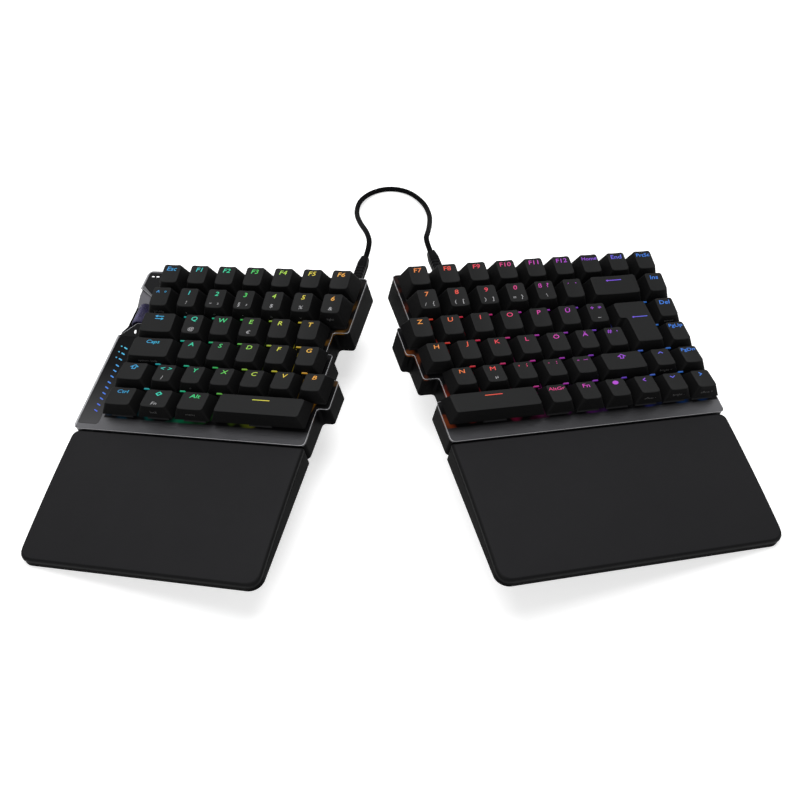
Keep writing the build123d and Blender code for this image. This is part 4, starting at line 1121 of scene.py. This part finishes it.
def pad_rings(half):
    """Rings of a pad: lower side, upper side, the rolled rim and then ever smaller outlines."""
    outer, inner, front = half.outer, half.inner(5), REST_REAR - REST_LENGTH
    corners = np.array([(outer, REST_REAR), (outer, front), (inner, front), (inner, REST_REAR)])
    radii = PAD_ROUNDS
    if half is right:
        corners, radii = corners[::-1], radii[::-1]
    corners = drawn_in(corners, PAD_SEAM)
    outline, middle = rounded(corners, radii), corners.mean(axis=0)
    size = np.abs(corners - middle).max(axis=0)

    def ring(shares, lower):
        flat = middle + (outline - middle) * shares
        return np.column_stack([flat, np.polyval(rest_curve, flat[:, 1]) - lower])

    rings = [ring(0.9, PAD_THICKNESS - 0.1), ring(1.0, PAD_THICKNESS - 0.1)]
    rings += [ring(1.0, PAD_THICKNESS * 0.8), ring(1.0, PAD_RIM)]
    for angle in PAD_RIM_ANGLES:
        rings.append(ring(1 - PAD_RIM * (1 - np.cos(angle)) / size, PAD_RIM * (1 - np.sin(angle))))
    rings += [ring(share, -PAD_CROWN * (1 - share**2)) for share in PAD_SHARES]
    marks = np.clip((np.arange(len(rings)) - 6) / 2, 0, 1)
    return np.array(rings), marks


for half in (left, right):
    shell = Shell()
    rings, face_marks = pad_rings(half)
    shell.add_rings(rings, half.base, face_marks)
    piece = shell.make(half.name + "_palm_pad", half.body, pad_finish, 50)
    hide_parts(half.name + "_palm_rest_pad")

# %% [markdown]
# The volume wheel is a metallic roller with fine grooves along it. Its radius is a circle less a
# rounded groove that repeats 48 times, and it is drawn in at both ends for a soft edge.

# %% Volume wheel
WHEEL_RADIUS, WHEEL_LENGTH, WHEEL_X, WHEEL_REAR, WHEEL_Z = 5.2, 15.6, -8.7, -22.9, -4.5
WHEEL_GROOVES, GROOVE_DEPTH, GROOVE_ROUND = 48, 0.28, 0.6
WHEEL_ENDS, WHEEL_SHARES = np.array([0.0, 0.15, 0.5, 1.0]), np.array([0.86, 0.94, 0.985, 1.0])


def wheel_rings():
    """Rings along the axle: radius less depth times the groove's share, smaller at both ends."""
    angle = np.linspace(0, 2 * np.pi, WHEEL_GROOVES * 6, endpoint=False)
    groove = np.abs(np.sin(angle * WHEEL_GROOVES / 2)) ** GROOVE_ROUND
    radius = WHEEL_RADIUS - GROOVE_DEPTH * (1 - groove)
    stations = np.concatenate([WHEEL_ENDS, WHEEL_LENGTH - WHEEL_ENDS[::-1]])
    shares = np.concatenate([WHEEL_SHARES, WHEEL_SHARES[::-1]])
    ring = np.stack([np.cos(angle) * radius, np.zeros_like(angle), np.sin(angle) * radius], -1)
    rings = ring[None] * shares[:, None, None]
    rings[..., 1] = -stations[:, None]
    return rings + [WHEEL_X, WHEEL_REAR, WHEEL_Z]


wheel_finish = Finish("wheel_metal", (0.06, 0.045, 0.16), 0.3, 1.0, coat_weight=0.4)
wheel_finish.clouded("Base Color", 200.0, (0.007, 0.006, 0.022), (0.028, 0.023, 0.07))
wheel_finish.roughened(0.25, 0.2, 500.0)
wheel_shell = Shell()
wheel_shell.add_rings(wheel_rings(), left.deck)
wheel_piece = wheel_shell.make("grooved_wheel", "volume_wheel", wheel_finish, 50)
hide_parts("volume_wheel")

# %% [markdown]
# Along the left edge lie two smoked, polished panels. The longer one catches more light towards the
# front, so its colour runs along it. Both are solids of the frame, and only get a finish here.

# %% Panels
BAR_TONES = (
    (0.0, (0.058, 0.058, 0.060)), (0.35, (0.024, 0.024, 0.025)),
    (0.65, (0.005, 0.005, 0.0055)), (1.0, (0.003, 0.003, 0.0035)),
)
BAR_FRONT, BAR_LENGTH = -118.0, 68.0

bar_finish = Finish("smoked_panel", (0.012, 0.012, 0.013), 0.3, specular_ior_level=0.03)
bar_share = (bar_finish.deck_axis(left, 1) - BAR_FRONT) / BAR_LENGTH
bar_finish.set("Base Color", bar_finish.ramp(bar_share, BAR_TONES))
bar_finish.roughened(0.3, 0.14, 80.0)
dress(nodes["light_bar"], bar_finish)
panel_finish = Finish("gloss_panel", (0.004, 0.004, 0.005), 0.12, specular_ior_level=0.1)
panel_finish.roughened(0.08, 0.08, 90.0)
dress(nodes["indicator_panel"], panel_finish)

# %% [markdown]
# Twelve short slanted strokes glow through the longer panel, from cyan at the rear to deep blue at
# the front, with a dot beside the first three. The shorter one shows two white marks, and a third
# one lies in the plate's dark corner. Each is a thin rounded block, sunk in the panel but for a hair.

# %% Strokes and marks
STROKE_TONES = ((0.0, (0.01, 0.07, 0.85)), (0.5, (0.0, 0.25, 1.0)), (1.0, (0.03, 0.72, 1.0)))
TONES_FRONT, TONES_LENGTH = -112.0, 55.0
STROKES = (-60.1, -64.6, -69.1, -74.1, -78.3, -82.8, -87.4, -91.5, -95.9, -100.0, -104.5, -109.0)
STROKE_X, STROKE_LENGTH, STROKE_WIDTH, STROKE_SLANT = -7.6, 2.9, 0.75, 62
DOTS, DOT_LENGTH, DOT_X, DOT_Y = 3, 1.1, -3.4, 1.4
WHITE_MARKS = ((-12.4, 0.3, 1.8, 0.8, 90), (-9.1, 0.3, 2.0, 0.8, 90), (-6.4, -46.5, 2.8, 1.2, 18))
MARK_SUNK, MARK_PROUD = -0.2, 0.06


def mark(shell, x, y, length, width, slant):
    """A thin rounded stroke on the left deck, turned about the upright by an angle in degrees."""
    rings = block_rings(length, width, MARK_SUNK, MARK_PROUD)
    rings[..., :2] = rings[..., :2] @ turn(2, np.radians(slant))[:2, :2].T
    shell.add_rings(rings, at(left, x, y))


stroke_finish = Finish("stroke_glow", (0.02, 0.02, 0.02), 0.5, emission_strength=0.75)
stroke_share = (stroke_finish.deck_axis(left, 1) - TONES_FRONT) / TONES_LENGTH
stroke_finish.set("Emission Color", stroke_finish.ramp(stroke_share, STROKE_TONES))
stroke_shell, white_shell = Shell(), Shell()
for number, stroke_y in enumerate(STROKES):
    mark(stroke_shell, STROKE_X, stroke_y, STROKE_LENGTH, STROKE_WIDTH, STROKE_SLANT)
    if number < DOTS:
        mark(stroke_shell, STROKE_X + DOT_X, stroke_y + DOT_Y, DOT_LENGTH, STROKE_WIDTH, STROKE_SLANT)
stroke_piece = stroke_shell.make("light_strokes", left.body, stroke_finish)

white_finish = Finish("white_glow", (0.6, 0.6, 0.6), 0.5, emission_strength=0.9)
white_finish.clouded("Emission Color", 400.0, (0.75, 0.75, 0.78), (1, 1, 1))
for white_mark in WHITE_MARKS:
    mark(white_shell, *white_mark)
white_piece = white_shell.make("white_marks", left.body, white_finish)

# %% [markdown]
# Most pieces inside and underneath are only glimpsed between the caps or seen from below, but each
# gets the finish of what it is: moulded switch housings, a lacquered board, foam, rubber feet and
# nickel-plated steel.

# %% Inner and lower pieces
switch_finish = Finish("switch_plastic", (0.02, 0.02, 0.022), 0.4, specular_ior_level=0.1)
switch_finish.clouded("Base Color", 120.0, (0.006, 0.006, 0.0065), (0.016, 0.016, 0.0175))
board_finish = Finish("board_lacquer", (0.01, 0.03, 0.02), 0.4)
board_tracks = board_finish.node(
    "ShaderNodeTexVoronoi", {}, {"Vector": board_finish.place, "Scale": 260.0})
board_colour = board_finish.mix(board_tracks, (0.006, 0.02, 0.014), (0.012, 0.04, 0.028))
board_finish.set("Base Color", board_colour)
foam_finish = Finish("foam", (0.05, 0.05, 0.05), 0.95)
foam_finish.bump(foam_finish.noise(1200.0), 0.8, 0.0003)
rubber_finish = Finish("rubber", (0.015, 0.015, 0.015), 0.8)
rubber_finish.roughened(0.72, 0.2, 300.0)
rubber_finish.bump(rubber_finish.noise(900.0), 0.3, 0.0001)
steel_finish = Finish("nickel_steel", (0.55, 0.55, 0.57), 0.3, 1.0)
steel_finish.roughened(0.22, 0.2, 600.0)
for node, finish in (
    ("switches", switch_finish), ("stabilisers", switch_finish), ("circuit_board", board_finish),
    ("damping_foam", foam_finish), ("rubber_feet", rubber_finish), ("screws", steel_finish),
    ("leg_pin", steel_finish), ("ports", steel_finish),
):
    for half in (left, right):
        dress(nodes[f"{half.name}_{node}"], finish)
dress(nodes["wheel_axle"], steel_finish)

# %% [markdown]
# The cord wears a braided sleeve, and its plugs are moulded over with a few grip ribs. The sleeve's
# braid is too fine to model, so two crossed sets of fine bands raise it, and the plugs keep their
# solid shape from the frame with a finish that carries the ribs as bump.

# %% Cord and plug finishes
BRAID_TURNS, BRAID_STEP = 6, 0.004
RIBS_FROM, RIBS_TO, RIB_PACE = REAR_MARGIN + 8.0, REAR_MARGIN + 17.0, 2.6

sleeve_finish = Finish("braided_sleeve", (0.006, 0.006, 0.0065), 0.7, specular_ior_level=0.015)
braid_map = sleeve_finish.node("ShaderNodeUVMap", {"uv_map": "braid"})
turns, metres = (
    sleeve_finish.node("ShaderNodeSeparateXYZ", {}, {0: braid_map}, output=part) for part in (0, 1))
round_angle, along_angle = turns * (2 * np.pi * BRAID_TURNS), metres * (2 * np.pi / BRAID_STEP)
braid = (0.5 + 0.5 * (along_angle + round_angle).sine() * (along_angle - round_angle).sine()).held()
sleeve_colour = sleeve_finish.mix(braid, (0.0010, 0.0010, 0.0012), (0.006, 0.006, 0.0065))
sleeve_finish.set("Base Color", sleeve_colour)
sleeve_finish.bump(braid, 0.8, 0.0003)
dress(link_cord, sleeve_finish)

for half, place in ((left, LINK_LEFT), (right, LINK_RIGHT)):
    finish = Finish(
        half.name + "_plug_plastic", (0.0025, 0.0025, 0.003), 0.45, specular_ior_level=0.03)
    along = finish.deck_axis(half, 1)
    ribs = (along * RIB_PACE).sine() * along.between(RIBS_FROM, RIBS_TO)
    finish.bump(ribs, 0.6, 0.0004)
    finish.roughened(0.38, 0.12, 200.0)
    dress(nodes[half.name + "_plug"], finish)

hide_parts("link_cord")
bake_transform(link_cord)

# %% [markdown]
# The setting is a plain pale floor under soft light, as in a catalogue picture. A large lamp above
# and behind gives the caps their soft sheen, a weaker one from the front lifts the front faces, and
# the world fills the rest. Where a ray shows the world or the floor as a background, straight,
# mirrored or let through, both are white, and the floor still keeps the shadows.

# %% Floor, lamps and world
FLOOR_REACH, FLOOR_GLOW = 6, 0.62
SKY_LIGHT, SKY_SHOWN = 0.3, 1.0

floor_mesh = bpy.data.meshes.new("floor")
floor_corners = oblong(2 * FLOOR_REACH, 2 * FLOOR_REACH)
floor_mesh.from_pydata([(x, y, 0) for x, y in floor_corners.tolist()], [], [(0, 1, 2, 3)])
floor = placed("floor", floor_mesh)
floor_finish = Finish("pale_floor", (0.74, 0.74, 0.74), 0.9, emission_strength=FLOOR_GLOW)
floor_shine = floor_finish.mix(floor_finish.as_background(), (0, 0, 0), (1, 1, 1))
floor_finish.set("Emission Color", floor_shine)
dress(floor, floor_finish)
floor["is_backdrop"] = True


def soft_lamp(name, place, size, power):
    """A square area lamp at a place in metres, turned so that it looks at the frame's origin."""
    data = bpy.data.lights.new(name, "AREA")
    data.shape, data.size, data.energy = "SQUARE", size, power
    back = unit(np.array(place))
    across = unit(np.cross([0, 1, 0.001], back))
    placed(name, data, np.column_stack([across, np.cross(back, across), back]), place)
    print("lamp:", name, "watts:", power)


soft_lamp("over_lamp", (-0.1, 0.35, 1.5), 1.3, 24)
soft_lamp("front_lamp", (-0.5, -1.3, 1.1), 1.0, 5)
world = bpy.data.worlds.new("world")
world.use_nodes = True
sky = Tree(world.node_tree, "Background")
sky.set("Color", (1, 1, 1, 1))
sky.set("Strength", SKY_LIGHT + (SKY_SHOWN - SKY_LIGHT) * sky.as_background())
scene.world = world

# %% Sizes and finish
boxes = {name: [list(map(float, corner)) for corner in box] for name, box in
         (("frame", frame_box), ("dressed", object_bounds()))}
print(boxes)
